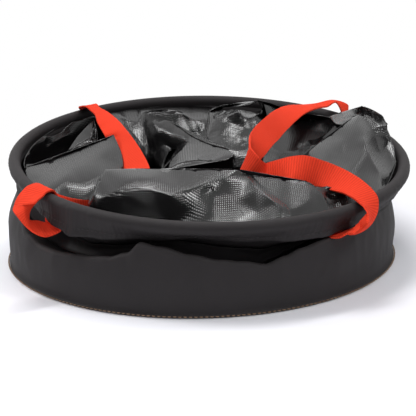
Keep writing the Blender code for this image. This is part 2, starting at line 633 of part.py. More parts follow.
def add_folds(made, rim):
    """The folds as one sheet seen from above. Gives its outer ring and its edge round the opening."""
    points, pairs, mouth = gather_folds(rim)
    flats = [point.xy for point in points]
    ring = list(range(FOLD_RING_STEPS))
    places, _, faces, origins, _, _ = geometry.delaunay_2d_cdt(flats, pairs, [ring], 1, FABRIC / 1000, True)
    verts = []
    for place, origin in zip(places, origins):
        height = points[origin[0]].z if origin else height_on_line(place, points, pairs)
        verts.append(made.verts.new((place.x, place.y, height)))
    opening = [flats[index] for index in mouth]
    for face in faces:
        middle = sum((places[index] for index in face), Vector((0, 0))) / len(face)
        if not inside(middle, opening):
            made.faces.new([verts[index] for index in face])
    loose = [vert for vert in made.verts if not vert.link_faces]
    bmesh.ops.delete(made, geom=loose, context="VERTS")
    samples = webbing_samples(rim)
    for _ in range(2):
        long_edges = [
            edge
            for edge in made.edges
            if not edge.is_boundary
            and edge.calc_length() > FOLD_EDGE_LENGTH
            and min(((edge.verts[0].co + edge.verts[1].co) / 2 - sample).xy.length for sample in samples) < FOLD_EDGE_LENGTH
        ]
        bmesh.ops.subdivide_edges(made, edges=long_edges, cuts=1)
        bmesh.ops.triangulate(made, faces=made.faces)
    around = [vert_at(made, flats[index]) for index in ring]
    press_under(made.verts, samples)
    return around, [vert_at(made, flats[index]) for index in mouth]


def add_row(made, before, places):
    """A strip from a closed row of verts to as many new ones."""
    after = [made.verts.new(place) for place in places]
    count = len(before)
    for index in range(count):
        following = (index + 1) % count
        made.faces.new((before[index], before[following], after[following], after[index]))
    return after


def add_zip(made, inner, inner_turns, outer, outer_turns):
    """Triangles between two closed rows of different counts, each with its angles in rising order."""
    i = j = 0
    while i < len(inner) or j < len(outer):
        a, b = inner[i % len(inner)], outer[j % len(outer)]
        next_a = inner_turns[i + 1 - len(inner)] + 360 if i + 1 >= len(inner) else inner_turns[i + 1]
        next_b = outer_turns[j + 1 - len(outer)] + 360 if j + 1 >= len(outer) else outer_turns[j + 1]
        if i < len(inner) and (j >= len(outer) or next_a <= next_b):
            made.faces.new((a, inner[(i + 1) % len(inner)], b))
            i += 1
        else:
            made.faces.new((a, outer[(j + 1) % len(outer)], b))
            j += 1


def skirt_rows(ring, start):
    """Where the rim stands well above the lower wall, the upper wall hangs down from the hem before it folds up again."""
    inner, outer = [], []
    for above, end in zip(ring, start):
        angle = math.degrees(math.atan2(end.y, end.x))
        top = lower_top(angle)
        hangs = max(0, min(1, (end.z - top - SKIRT_START) / SKIRT_START))
        reach = WALL_RADIUS * SKIRT_REACH_SHARE
        low = top + SKIRT_LIFT
        outer.append((above * 0.33 + end * 0.67).lerp(polar(angle, reach, low), hangs))
        inner.append((above * 0.67 + end * 0.33).lerp(polar(angle, reach - SKIRT_WIDTH, low + LIP_HEIGHT), hangs))
    return inner, outer


def build_folded_wall(coated, rim):
    """The upper wall from the hem's lower edge over its folds, round under them and up to the lower wall's top edge."""
    made = bmesh.new()
    ring, mouth = add_folds(made, rim)
    start_side = -(FABRIC * 1.5 + SEAM_GAP * 2 + TAIL_GAP + WEBBING_THICKNESS + TACK_GAP + TACK_THICKNESS)
    start = []
    for angle in ring_steps(FOLD_RING_STEPS):
        _, _, length = hem_line(angle)
        start.append(rim @ hem_side_point(angle, length - FABRIC, start_side))
    row = ring
    for places in (*skirt_rows([vert.co.copy() for vert in ring], start), start):
        row = add_row(made, row, places)
    middle = Vector(MOUTH_MIDDLE) * (RIM_RADIUS / FOLD_UNITS)
    turns = [math.degrees(math.atan2(vert.co.y - middle.y, vert.co.x - middle.x)) % 360 for vert in mouth]
    first = turns.index(min(turns))
    mouth, turns = mouth[first:] + mouth[:first], turns[first:] + turns[:first]
    if turns[1] > turns[-1]:
        mouth, turns = [mouth[0], *reversed(mouth[1:])], [turns[0], *reversed(turns[1:])]
    turns = [max(turns[: index + 1]) for index in range(len(turns))]
    drop = []
    for vert in mouth:
        outward = (vert.co.xy - middle).normalized() * MOUTH_SPREAD
        drop.append(vert.co + Vector((*outward, -MOUTH_DROP)))
    drop = add_row(made, mouth, drop)
    reach = WALL_RADIUS - LOWER_WALL_HEIGHT * SHOULDER_DEPTH_SHARE
    feet = ring_steps(WALL_STEPS)
    tops = [lower_top(angle) for angle in feet]
    row = [
        made.verts.new(polar(angle, reach * UNDER_REACH_SHARE, top * UNDER_HEIGHT_SHARE))
        for angle, top in zip(feet, tops)
    ]
    add_zip(made, drop, turns, row, feet)
    for radius, height in (
        (lambda top: reach * TUCK_REACH_SHARE, lambda top: top * TUCK_HEIGHT_SHARE),
        (lambda top: reach * RISE_REACH_SHARE, lambda top: top * RISE_HEIGHT_SHARE),
        (lambda top: reach - LIP_HEIGHT * 2, lambda top: top + LIP_HEIGHT),
        (lambda top: reach - FABRIC / 2, lambda top: top + FABRIC),
    ):
        row = add_row(made, row, [polar(angle, radius(top), height(top)) for angle, top in zip(feet, tops)])
    bmesh.ops.recalc_face_normals(made, faces=made.faces)
    mesh = bpy.data.meshes.new("folded_wall")
    made.to_mesh(mesh)
    made.free()
    mesh.materials.append(coated)
    mesh.shade_smooth()
    mesh.set_sharp_from_angle(angle=math.radians(25))
    wall = bpy.data.objects.new("folded_wall", mesh)
    bpy.context.scene.collection.objects.link(wall)
    solid = wall.modifiers.new("thickness", "SOLIDIFY")
    solid.thickness = FABRIC
    solid.offset = 0


def build_rim(matte, thread, tube, pivot):
    gap = math.degrees(SEAM_GAP / 2 / RIM_RADIUS)
    steps = ring_steps(RIM_STEPS, JOINER_ANGLE)
    ends = [JOINER_ANGLE + gap, *steps[1:], JOINER_ANGLE + 360 - gap]
    sections = [circle(angle, RIM_RADIUS, HOOP_RADIUS, HOOP_SIDES) for angle in ends]
    sheet("rim_hoop", sections, HOOP_RADIUS - HOOP_BORE_RADIUS, tube, pivot, around=True, offset=-1)
    plug = [
        circle(angle, RIM_RADIUS, HOOP_BORE_RADIUS - JOINER_GAP, HOOP_SIDES)
        for angle in (steps[-1] - 360, steps[0], steps[1])
    ]
    loft("hoop_joiner", plug, tube, pivot, ring=False)
    loft("rim_hem", [hem_section(angle) for angle in steps], matte, pivot)
    out = SEAM_GAP * 1.5 + FABRIC + THREAD_RADIUS
    section = ((-THREAD_RADIUS, 0), (0, THREAD_RADIUS), (THREAD_RADIUS, 0), (0, -THREAD_RADIUS))
    rows = []
    for angle in steps:
        depth = hem_thread_depth(angle)
        rows.append([hem_side_point(angle, depth + down, out + side) for down, side in section])
    loft("hem_stitching", rows, thread, pivot)


def build_tail(name, angle, webbing, thread, pivot):
    """A handle's sewn end, behind the hem, and the stitching that holds it."""
    half = math.degrees(WEBBING_WIDTH / 2 / RIM_RADIUS)
    _, _, length = hem_line(angle)
    side = -(FABRIC + SEAM_GAP / 2 + TAIL_GAP + WEBBING_THICKNESS / 2)
    top = SLEEVE_OUTER + TAIL_TOP_GAP
    depths = [top, (top + length) / 2, length, length + TAIL_DROP]
    turns = [angle + half * (2 * step / TAIL_STEPS - 1) for step in range(TAIL_STEPS + 1)]
    rows = [[hem_side_point(turn, depth, side) for turn in turns] for depth in depths]
    sheet(f"{name}_tail", rows, WEBBING_THICKNESS, webbing, pivot)
    share = 1 - TACK_MARGIN / (WEBBING_WIDTH / 2)
    tack_side = side - WEBBING_THICKNESS / 2 - TACK_GAP - TACK_THICKNESS / 2
    tack_depths = [top + TACK_MARGIN, (top + length) / 2, length - TACK_MARGIN]
    tack_turns = [angle + (turn - angle) * share for turn in turns]
    tack = [[hem_side_point(turn, depth, tack_side) for turn in tack_turns] for depth in tack_depths]
    sheet(f"{name}_tack", tack, TACK_THICKNESS, thread, pivot)


def smooth_run(points, steps):
    """Points along a Catmull-Rom curve through the given ones."""
    padded = [2 * points[0] - points[1], *points, 2 * points[-1] - points[-2]]
    run = []
    for before, start, end, after in zip(padded, padded[1:], padded[2:], padded[3:]):
        for step in range(steps):
            t = step / steps
            run.append(
                0.5
                * (
                    2 * start
                    + (end - before) * t
                    + (2 * before - 5 * start + 4 * end - after) * t**2
                    + (3 * start - before - 3 * end + after) * t**3
                )
            )
    run.append(points[-1])
    return run


def handle_end(rim, angle, share=0):
    """Where a handle comes out from under the hem, in the world. Share runs over its width, from -1 to 1."""
    turn = angle + share * math.degrees(WEBBING_WIDTH / 2 / RIM_RADIUS)
    _, _, length = hem_line(angle)
    side = -(FABRIC + SEAM_GAP / 2 + TAIL_GAP + WEBBING_THICKNESS / 2)
    return rim @ hem_side_point(turn, length + TAIL_DROP + HINGE_GAP, side)


def handle_place(rim, angles):
    """On the line through both ends of a handle, about which it swings, with X along that line."""
    front, rear = (handle_end(rim, angle) for angle in angles)
    along = (rear - front).normalized()
    return Matrix.Translation((front + rear) / 2) @ along.to_track_quat("X", "Z").to_matrix().to_4x4()


def build_handle(side, webbing, rim, parent):
    angles = HANDLE_ANGLES[side]
    place = handle_place(rim, angles)
    pivot = pivot_at(f"{side}_handle_pivot", place, parent)
    outward = -1 if side == "left" else 1
    home = place.inverted()
    rows = []
    for edge, share in enumerate((outward, -outward)):
        front = handle_end(rim, angles[0], share)
        rear = handle_end(rim, angles[1], -share)
        middle = [from_shares(pair[edge]) for pair in WEBBING_SHARES[side]]
        rows.append([home @ point for point in smooth_run([front, *middle, rear], STRAP_STEPS)])
    return sheet(f"{side}_handle", rows, WEBBING_THICKNESS, webbing, pivot)


def main():
    clear_scene()
    coated = material("coated_fabric", (0.030, 0.030, 0.032), 0.32)
    matte = material("matte_fabric", (0.045, 0.043, 0.044), 0.70)
    webbing = material("webbing", (0.78, 0.085, 0.040), 0.80)
    thread = material("thread", (0.050, 0.045, 0.045), 0.75)
    tube = material("hoop_plastic", (0.060, 0.060, 0.062), 0.45)
    build_base(matte, thread)
    build_lower_wall(matte)
    build_seam_tape(coated)
    rim = rim_place()
    build_folded_wall(coated, rim)
    rim_pivot = pivot_at("rim_pivot", rim)
    build_rim(matte, thread, tube, rim_pivot)
    for side, angles in HANDLE_ANGLES.items():
        for end, angle in zip(("front", "rear"), angles):
            build_tail(f"{side}_{end}", angle, webbing, thread, rim_pivot)
        build_handle(side, webbing, rim, rim_pivot)


main()
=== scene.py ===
"""The looks of the collapsible camp bucket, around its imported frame. Metres, +Z up, seen from -Y."""

import math

import bmesh
import bpy
from mathutils import Matrix, Vector, geometry, kdtree, noise
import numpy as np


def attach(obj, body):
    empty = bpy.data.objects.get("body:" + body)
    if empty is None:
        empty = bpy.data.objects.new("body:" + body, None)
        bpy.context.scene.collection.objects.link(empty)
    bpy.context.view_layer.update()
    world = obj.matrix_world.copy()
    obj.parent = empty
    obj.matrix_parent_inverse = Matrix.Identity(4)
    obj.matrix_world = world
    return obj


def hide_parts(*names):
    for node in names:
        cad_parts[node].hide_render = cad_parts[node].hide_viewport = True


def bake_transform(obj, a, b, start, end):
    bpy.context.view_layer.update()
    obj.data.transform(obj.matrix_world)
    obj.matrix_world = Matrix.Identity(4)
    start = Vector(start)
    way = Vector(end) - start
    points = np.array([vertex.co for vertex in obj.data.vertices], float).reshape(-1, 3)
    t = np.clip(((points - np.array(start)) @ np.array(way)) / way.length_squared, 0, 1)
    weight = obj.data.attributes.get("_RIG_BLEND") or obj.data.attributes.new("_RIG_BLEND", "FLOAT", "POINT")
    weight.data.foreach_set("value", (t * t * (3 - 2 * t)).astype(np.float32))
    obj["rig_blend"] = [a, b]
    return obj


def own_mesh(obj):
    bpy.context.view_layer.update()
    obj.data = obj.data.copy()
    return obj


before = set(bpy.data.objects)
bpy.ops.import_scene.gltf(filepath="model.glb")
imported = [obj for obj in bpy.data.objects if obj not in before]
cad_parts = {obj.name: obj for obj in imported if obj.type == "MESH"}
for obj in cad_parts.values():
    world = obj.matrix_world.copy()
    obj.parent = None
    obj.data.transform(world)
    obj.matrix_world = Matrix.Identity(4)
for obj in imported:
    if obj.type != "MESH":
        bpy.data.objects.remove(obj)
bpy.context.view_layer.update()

MM = 0.001

# The photograph's camera, as it was fitted to the photo
PICTURE_SIZE = 416
FOCAL_PIXELS = 896.6
SENSOR_WIDTH = 36
CLIP_START = 0.01
CAMERA_TARGET = Vector((0.0075, 0, 0.043))
CAMERA_DISTANCE = 0.95
CAMERA_HEIGHT_ANGLE = math.radians(15.32)
CAMERA_ROLL = math.radians(-1.09)
CAMERA_BACK = Vector((0, -math.cos(CAMERA_HEIGHT_ANGLE), math.sin(CAMERA_HEIGHT_ANGLE)))
CAMERA_UP = Vector((0, math.sin(CAMERA_HEIGHT_ANGLE), math.cos(CAMERA_HEIGHT_ANGLE)))
CAMERA_PLACE = CAMERA_TARGET + CAMERA_BACK * CAMERA_DISTANCE

# The rim's circle as it lies in the folded bucket
RIM_RADIUS = 0.200
RIM_CENTRE = Vector((0.010, 0.005, 0.1024))
RIM_AXIS = Vector((math.cos(math.radians(13)), math.sin(math.radians(13)), 0))
RIM_PLACE = Matrix.Translation(RIM_CENTRE) @ Matrix.Rotation(math.radians(7.27), 4, RIM_AXIS)
SLEEVE_RADIUS = 0.0060

# The line round which the folds hang inside the rim: its tilt about X and about Y, its middle, how far it
# is from round as shares of the radius, how far from flat, and how far inside the rim it lies
FOLD_RING_TURN = Matrix.Rotation(math.radians(7.09), 3, "X") @ Matrix.Rotation(math.radians(1.63), 3, "Y")
FOLD_RING_CENTRE = Vector((0.0101, 0.005, 0.1024))
FOLD_RING_OVAL_SHARES = (0.0001, -0.0016)
FOLD_RING_WAVE = (0.0006, -0.0036)
FOLD_RING_INSET = 0.008

# The hem. Its cloth is thickened inward
HEM_DEPTH = 0.018
HEM_LAYER = 0.0012
HEM_THICKNESS = 0.0005
HEM_SIDE = -1
HEM_EDGE = 0.0004
HEM_SEAM_SHARE = 0.55
HEM_RISE_SHARES = (0.3, 0.65)
HEM_ARC_STEPS = 20
HEM_SWELL = 0.0012
HEM_RIPPLE = 0.00025
HEM_LEAN = 0.0006
RIM_STEPS = 1200

# The standing wall, its round foot, and the wall behind the hem
WALL_RADIUS = 0.1995
WALL_ROUND = 2 * math.pi * WALL_RADIUS
WALL_BOTTOM = 0.0032
WALL_FOOT = ((-0.0008, 0.0006), (0.0012, 0.0016), (0.0008, WALL_BOTTOM))
WALL_BELLY = 0.0012
WALL_THICKNESS = 0.0008
WALL_CRUMPLE = 0.0010
SHOULDER_START_SHARE = 0.55
ROLL_RADIUS = 0.0045
ROLL_STEPS = 6
WALL_ROWS = 22
WALL_STEPS = 720
UPPER_WALL_THICKNESS = 0.0006
UPPER_WALL_CRUMPLE = 0.0030
LOWER_PART_STEPS = 7
UPPER_PART_STEPS = 5

# Stitches: a thread's sides, and its sections as shares: along its length, then out of the cloth and wide
# by its radius
STITCH_SIDES = 5
STITCH_SHARES = ((-0.5, -0.6, 0.5), (-0.3, 0.45, 0.9), (0, 0.75, 1), (0.3, 0.45, 0.9), (0.5, -0.6, 0.5))
STITCH_LENGTH_SHARE = 0.62
HEM_STITCH_PITCH = 0.0042
HEM_STITCH_RADIUS = 0.00028
BOTTOM_STITCH_PITCH = 0.0046
BOTTOM_STITCH_RADIUS = 0.0007
BOTTOM_STITCH_HEIGHT = 0.0019
BOTTOM_STITCH_OUT = 0.0026
TACK_PITCH = 0.0026
TACK_LENGTH = 0.0019
TACK_RADIUS = 0.0003

# The hem's lower edge, by angle: how far out of the hoop's line and how far under it, as shares of HEM_DEPTH
HEM_OUT_SHARES = (
    (0, -0.15), (125, -0.10), (180, -0.15), (204, -0.08), (216, 0.05), (222, 0.22), (228, 0.42), (234, 0.50),
    (240, 0.20), (252, -0.40), (267, -0.80), (282, -0.50), (294, -0.10), (300, 0.03), (306, 0.00),
    (324, -0.12), (360, -0.15),
)
HEM_DROP_SHARES = (
    (0, 0.80), (90, 0.82), (141, 0.84), (180, 0.80), (204, 0.74), (216, 0.82), (222, 0.95), (228, 1.10),
    (234, 1.20), (240, 1.12), (252, 0.98), (267, 0.85), (282, 0.92), (294, 1.00), (300, 1.03), (306, 0.94),
    (312, 0.86), (324, 0.80), (360, 0.80),
)
# How much the hem's cloth is gathered, by angle
PUCKER_SHARES = (
    (0, 0.5), (60, 0.5), (100, 0.8), (130, 1.5), (160, 1.4), (190, 1.0), (215, 1.1), (232, 1.6), (245, 0.9),
    (262, 0.4), (280, 0.5), (296, 1.2), (312, 0.9), (330, 0.7), (360, 0.5),
)
# The standing wall's top edge in millimetres, by angle
WALL_TOP = (
    (0, 63), (20, 66), (44, 63), (72, 67), (96, 62), (120, 66), (144, 62), (164, 67), (180, 70), (196, 69),
    (206, 62), (214, 50), (220, 45), (230, 45.5), (238, 47), (246, 50), (251, 55), (255, 65.5), (260, 62),
    (268, 55), (275, 50), (281, 47), (287, 43), (292, 48), (297, 53), (305, 58), (314, 63), (324, 64),
    (344, 62), (360, 63),
)
# How far the wall is folded in behind its top edge, by angle, from none to all
RECESS_SHARES = (
    (0, 0.0), (203, 0.0), (214, 0.6), (222, 1.0), (300, 1.0), (308, 0.6), (316, 0.0), (360, 0.0),
)
# How far in the wall's shoulder leans in millimetres, by angle
SHOULDER = (
    (0, 4.0), (60, 5.0), (120, 5.0), (170, 7.0), (190, 8.0), (205, 5.0), (216, 1.5), (300, 1.0), (320, 2.0),
    (340, 2.5), (360, 4.0),
)

# The folds' cloth. The frame's own folded wall lies under them, lowered so that it stays out of sight
FOLD_THICKNESS = 0.0007
FOLD_BEND = 0.0011
FOLD_BEND_ANGLE = 14
FOLD_SMOOTHING = 3
UNDER_FOLDS_DROP = 0.0035
UNDER_FOLDS_START = 0.060
# The two steps in which a fold's free edge is turned down, as shares of the way that its table gives
SKIRT_SHARES = (0.35, 0.8)
# How deep each patch is wrinkled
FOLD_WRINKLES = {
    "front": 0.00015, "left": 0.00015, "corner": 0.0004, "pocket": 0.0002, "back_left": 0.0002, "fin": 0.0002,
    "peak": 0.0009, "hollow": 0.0003, "hump": 0.00015, "hump_top": 0.0004, "spike": 0.0003,
}

WEBBING_THICKNESS = 0.0016
WEBBING_WIDTH = 0.025
WEBBING_EDGE = 0.0004
WEBBING_STEPS = 6
WEBBING_COLUMNS = 12
HANDLE_ANGLES = {"left": (225.5, 125.5), "right": (305.5, 45.5)}
HANDLE_FIXED = 0.016
HANDLE_TURN = 0.030

# How far apart the threads of each cloth lie
SCRIM_PITCH = 0.0018
WEAVE_PITCH = 0.0012
RIB_PITCH = 0.0024
TWILL_PITCH = 0.0011

FLOOR_COLOR = (0.93, 0.93, 0.965)
FLOOR_FADE = (0.24, 0.55)
FLOOR_REACH = 6.0
FLOOR_DROP = 0.0002

# The room is white behind and above the object: how much height counts against depth, where it turns, and
# how bright the near side is
ROOM_HEIGHT_SHARE = 0.65
ROOM_TURN = (-0.30, 0.50)
ROOM_NEAR = 0.08
# Where the floor turns from its near side to its far side, in metres
FLOOR_TURN = (-0.6, 0.3)

# Each lamp's place, size and power
LIGHT_TARGET = Vector((0, 0, 0.05))
LIGHTS = {
    "overhead": ((-0.10, 0.15, 1.30), (0.90, 0.14), 9),
    "left": ((-1.1, 0.2, 0.9), (0.25, 0.60), 6),
    "right": ((0.9, -0.5, 1.1), (0.25, 0.25), 4),
    "front": ((0.0, -1.1, 1.45), (0.5, 0.3), 4.5),
}

# The folds that show inside the rim. A point with three numbers lies on the line of sight through a place in
# the picture, across and down in pixels, at a Y in millimetres. One with two is at the rim: its angle, and
# how far it hangs under the line inside the rim in millimetres. They were placed against the photo,
# but for two groups: b4, b5, b6, m6, m7 and n1 to n3 of the left fold were placed in millimetres first, and
# their picture places were worked back from those, and x1 to x3 and y1 to y3 of the front fold got their
# depths from a plane. Creases are the sharp folds, with how sharp each is from none to all. Skirts are the
# edges that turn down out of sight, with the way that they turn in millimetres
FOLDS = {
    "front": {
        "points": {
            "s0": (233, 5), "s1": (238, 5), "s2": (243, 5), "s3": (132, 226, -166), "s4": (153, 228, -168),
            "s5": (172, 229, -169), "s6": (192, 229, -169), "s7": (211, 229, -170), "s8": (231, 229, -171),
            "s9": (250, 228, -173), "s10": (266, 226, -174), "s11": (288, 5), "s12": (291.5, 5),
            "s13": (295, 5), "s14": (299, 5), "s15": (303, 5), "a0": (105, 169, -115),
            "a1": (135, 168.5, -113), "a2": (165, 168.7, -112), "a3": (196, 169, -111),
            "a4": (222, 169, -111), "a5": (239, 169.5, -111), "a6": (246, 173, -112),
            "a7": (252, 175, -113), "a8": (266, 176, -114), "a9": (285, 178, -116),
            "a10": (305, 181, -120), "a11": (322, 190, -132), "e1": (99, 180, -134), "e2": (94, 196, -152),
            "c0": (97, 203, -160), "c1": (106, 195, -159), "c2": (117, 190, -152),
            "c3": (130, 187.5, -151.5), "c4": (145, 188, -151.5), "c5": (158, 191, -153.5),
            "c6": (170, 195, -160), "c7": (184, 191, -151), "c8": (205, 184, -137), "c9": (226, 178, -123),
            "d1": (122, 206, -158.5), "d2": (150, 208, -159.5), "d3": (190, 207, -157),
            "w1": (198, 197, -150), "w2": (212, 214, -157), "x1": (207, 193, -138), "x2": (222, 205.5, -149),
            "x3": (238, 219.5, -161), "y1": (219, 190, -134), "y2": (236, 200, -142), "y3": (256, 214, -155),
            "r1": (249, 180, -126), "r2": (256, 188, -140), "r3": (268, 197, -152), "r4": (281, 206, -163),
            "g1": (252, 180, -125), "g2": (260, 189, -139), "g3": (273, 199, -151.5),
            "g4": (286, 208, -163), "q1": (256, 180, -121), "q2": (264, 188, -134), "q3": (278, 199, -148),
            "q4": (291, 208, -160), "p1": (290, 192, -134), "p2": (308, 199, -148), "p3": (316, 192, -136),
            "cb2": (119, 197, -156), "cb3": (130, 194, -155), "cb4": (146, 195, -155),
            "cb5": (158, 198, -157), "b5": (112, 183, -140), "b6": (128, 178, -139),
            "b7": (145, 178, -139), "b8": (160, 182, -142),
        },
        "creases": (
            ("a0 a1 a2 a3 a4 a5 a6", 1), ("a6 a7 a8 a9 a10 a11", 0.9), ("a0 e1 e2 s1", 0.9),
            ("c0 c1 c2 c3 c4 c5 c6", 0.55), ("c6 c7 c8 c9 a6", 0.6), ("c6 s5", 0.5), ("x1 x2 x3 s9", 0.35),
            ("a6 r1 r2 r3 r4 s11", 0.95), ("a7 q1 q2 q3 q4 s12", 0.9), ("g1 g2 g3 g4", 0.3),
            ("a11 s15", 1), ("y1 y2 y3", 0.35),
        ),
        "outline": "s1 s2 s3 s4 s5 s6 s7 s8 s9 s10 s11 s12 s13 s14 s15 a11 a10 a9 a8 a7 a6 a5 a4 a3"
        " a2 a1 a0 e1 e2",
        "skirts": (
            ("e2 e1 a0", (12, 6, -26)), ("a0 a1 a2 a3 a4 a5 a6 a7 a8 a9 a10 a11 s15", (0, 16, -30)),
        ),
    },
    "corner": {
        "points": {
            "a10": (305, 181, -119.5), "a11": (322, 190, -131), "s15": (302.6, 5), "s16": (306, 5),
            "s17": (311, 5), "t1": (326, 186, -122), "t2": (347, 196, -128), "t3": (330, 198, -122),
            "s18": (316, 5),
        },
        "creases": (
            ("t1 t2", 0.8),
        ),
        "outline": "a10 a11 s15 s16 s17 s18 t2 t1",
        "skirts": (
            ("s18 t2 t1 a10", (-4, 22, -34)),
        ),
    },
    "left": {
        "points": {
            "s0": (196, 4), "s1": (202, 5), "s2": (208, 5), "s3": (214, 5), "s4": (220, 5), "s5": (226, 5),
            "a0": (24, 167.5, -32), "a1": (50, 160, -15), "a2": (80, 149, 8), "a3": (109, 137, 27),
            "a4": (114, 134.5, 30), "b1": (118.5, 145, 10), "b2": (123, 156, -10), "b3": (123.5, 168, -32),
            "b4": (112.5, 181, -66), "b5": (104, 192, -80), "b6": (96, 199.5, -89), "m1": (45, 175, -60),
            "m2": (70, 168, -48), "m3": (96, 156, -22), "m4": (66, 182, -80), "m5": (95, 176, -66),
            "m6": (86.5, 187, -84), "m7": (53, 182.5, -84), "n1": (55.5, 195.5, -103),
            "n2": (72.5, 200.5, -92), "n3": (84, 201, -95),
        },
        "creases": (
            ("a0 a1 a2 a3 a4", 0.9), ("a4 b1 b2 b3", 0.85), ("m7 m4 m2 m3", 0.1),
        ),
        "outline": "s0 s1 s2 s3 s4 n1 n2 n3 b6 b5 b4 b3 b2 b1 a4 a3 a2 a1 a0",
        "skirts": (
            ("a0 a1 a2 a3 a4", (6, 14, -30)), ("a4 b1 b2 b3 b4 b5", (14, -4, -34)),
            ("b5 b6 n3 n2 n1 s4", (0, 8, -24)),
        ),
    },
    "pocket": {
        "points": {
            "s0": (194, 8), "s1": (186, 5), "s2": (178, 5), "s3": (170, 5), "s4": (162, 5), "s5": (154, 5),
            "s6": (147, 5), "s7": (140, 5), "s8": (134, 5), "a0": (30, 167, 4), "a05": (38, 166, 36),
            "a1": (50, 163.5, 60), "a2": (80, 153, 109), "a3": (104, 143, 130), "a4": (112, 136, 132),
            "k8": (112, 124, 142), "d0": (38.8, 149.8, 45), "d1": (44, 141.4, 58), "d2": (46.6, 136, 67),
            "d3": (50.5, 131.7, 78), "d4": (54.4, 129, 84), "d5": (60, 126.5, 93), "d6": (46.6, 148, 60),
            "d7": (53, 143.4, 73), "d8": (59.6, 139.5, 84), "d9": (64.8, 135.6, 94),
            "d10": (72, 132.3, 106), "i1": (47, 143, 66), "i2": (55, 136, 83), "i3": (64, 130.5, 100),
            "w1": (80, 140, 115), "w2": (90, 128, 132), "w3": (101, 126, 138), "w4": (62, 150, 87),
            "w5": (103, 134, 133),
        },
        "creases": (
            ("d0 d1 d2 d3 d4 d5", 0.95), ("d0 d6 d7 d8 d9 d10", 0.95),
        ),
        "outline": "s0 s1 s2 s3 s4 s5 s6 s7 s8 k8 a4 a3 a2 a1 a05 a0",
        "skirts": (
            ("a0 a05 a1 a2 a3 a4 k8", (8, -6, -24)),
        ),
    },
    "back_left": {
        "points": {
            "s0": (136, 5), "s1": (130, 5), "s2": (124, 5), "s3": (117, 5), "s4": (110, 5), "s5": (103, 5),
            "s6": (97, 5), "s7": (91, 5), "s8": (85, 5), "a0": (104, 122, 112), "b0": (118, 128, 92),
            "b15": (124, 150, 36), "b14": (134, 167, 4), "a1": (119, 112.5, 146), "e1": (121, 118, 131),
            "e2": (129.4, 120.5, 136), "a2": (137, 122, 133), "a3": (142, 112, 151),
            "a4": (147, 110.4, 160), "a5": (161, 110.4, 164), "a6": (174, 109.4, 166),
            "a7": (180.5, 111.5, 160), "a8": (196.4, 122.4, 132), "a9": (203, 117.4, 148),
            "a10": (209, 114, 160), "r1": (213, 122, 128), "r2": (211, 131, 118), "r3": (209, 139, 108),
            "t1": (142, 124, 130), "b3": (149.5, 146.5, 96), "b4": (145.5, 155, 80),
            "b5": (147.5, 168, 62), "v1": (122, 120.5, 134), "v2": (131, 131, 118), "v3": (141, 143, 106),
            "v4": (147, 149, 99), "w1": (120, 122, 124), "w2": (128.5, 131.5, 100),
            "w3": (137.5, 143.5, 86), "w4": (144, 154, 76), "p1": (149, 118, 156), "p2": (160, 117.3, 160),
            "p3": (172, 117.5, 161), "p4": (184, 121, 152), "q1": (147, 128, 142), "q2": (153, 140, 132),
            "q3": (155, 150, 124), "q4": (152, 160, 118), "q5": (153, 169, 114), "c3": (162, 138, 140),
            "c5": (161, 156, 124), "c7": (166, 169, 118), "c9": (187, 141.5, 130), "c10": (185, 150, 126),
            "c11": (175, 161, 122), "g1": (188, 130, 140), "g2": (197, 136, 126), "g3": (203, 131, 128),
            "g4": (205, 124, 136), "h1": (193, 141, 128), "h2": (201, 144, 112), "h3": (208, 146, 104),
            "c6": (172, 134, 146),
        },
        "creases": (
            ("a3 a4 a5 a6 a7 a8 a9 a10", 0.9), ("a3 a2", 0.9), ("e1 e2 a2 t1", 0.7), ("t1 b3", 0.9),
            ("b3 b4 b5", 0.9), ("v1 v2 v3 v4", 0.9), ("w1 w2 w3 w4", 0.7),
        ),
        "outline": "s0 s1 s2 s3 s4 s5 s6 s7 s8 a10 r1 r2 r3 h3 h2 h1 c9 c10 c11 c7 q5 b5 b14 b15 b0"
        " a0",
        "skirts": (
            ("r1 r2 r3 h3 h2 h1", (0, -2, -34)), ("c11 c7 q5 b5 b14 b15 b0 a0", (0, -16, -34)),
        ),
    },
    "fin": {
        "points": {
            "n3": (177, 125, 122), "n4": (187, 133, 98), "n5": (190.4, 135.5, 92), "n6": (200, 140, 72),
            "n7": (215, 146, 48), "n8": (228.7, 149.8, 28), "n9": (233, 154.3, 10), "m9": (233, 156, 8),
            "m8": (227.4, 159.4, 4), "m7": (209.6, 162, 4), "m6": (200, 160.5, 8), "m5": (187, 161.3, 4),
            "m4": (177, 163.8, -2), "m3": (168, 169, -10), "j4": (163, 168.6, 0), "j3": (170, 160, 28),
            "j2": (182, 149, 60), "j1": (187.3, 141, 84), "f1": (200, 150, 40), "f2": (215, 154, 24),
            "f3": (190, 152, 44), "f4": (180, 158, 22), "f5": (196, 145, 60), "f6": (224, 155, 12),
            "n0": (151, 119.5, 149), "n1": (160, 118.8, 146), "n2": (168, 120.5, 138),
            "c1": (173, 135, 108), "c3": (163, 138, 123), "c8": (176, 149, 101), "c2": (182, 137, 93),
            "o1": (149, 128, 144), "o2": (150, 138, 135), "o3": (151, 148, 130), "o4": (152, 158, 125),
            "o5": (153, 169, 119), "j0": (163, 169, 114), "c4": (167, 152, 119), "c5": (160, 128, 127),
        },
        "creases": (
            ("n1 n2 n3 n4 n5 n6 n7 n8 n9", 0.8), ("n9 m9", 0.9), ("m9 m8 m7 m6 m5 m4 m3", 0.9),
            ("j4 j3 j2 j1", 0.8), ("j1 c8", 0.8),
        ),
        "outline": "n0 n1 n2 n3 n4 n5 n6 n7 n8 n9 m9 m8 m7 m6 m5 m4 m3 j4 j3 j2 j1 c8 j0 o5 o4 o3"
        " o2 o1",
        "skirts": (
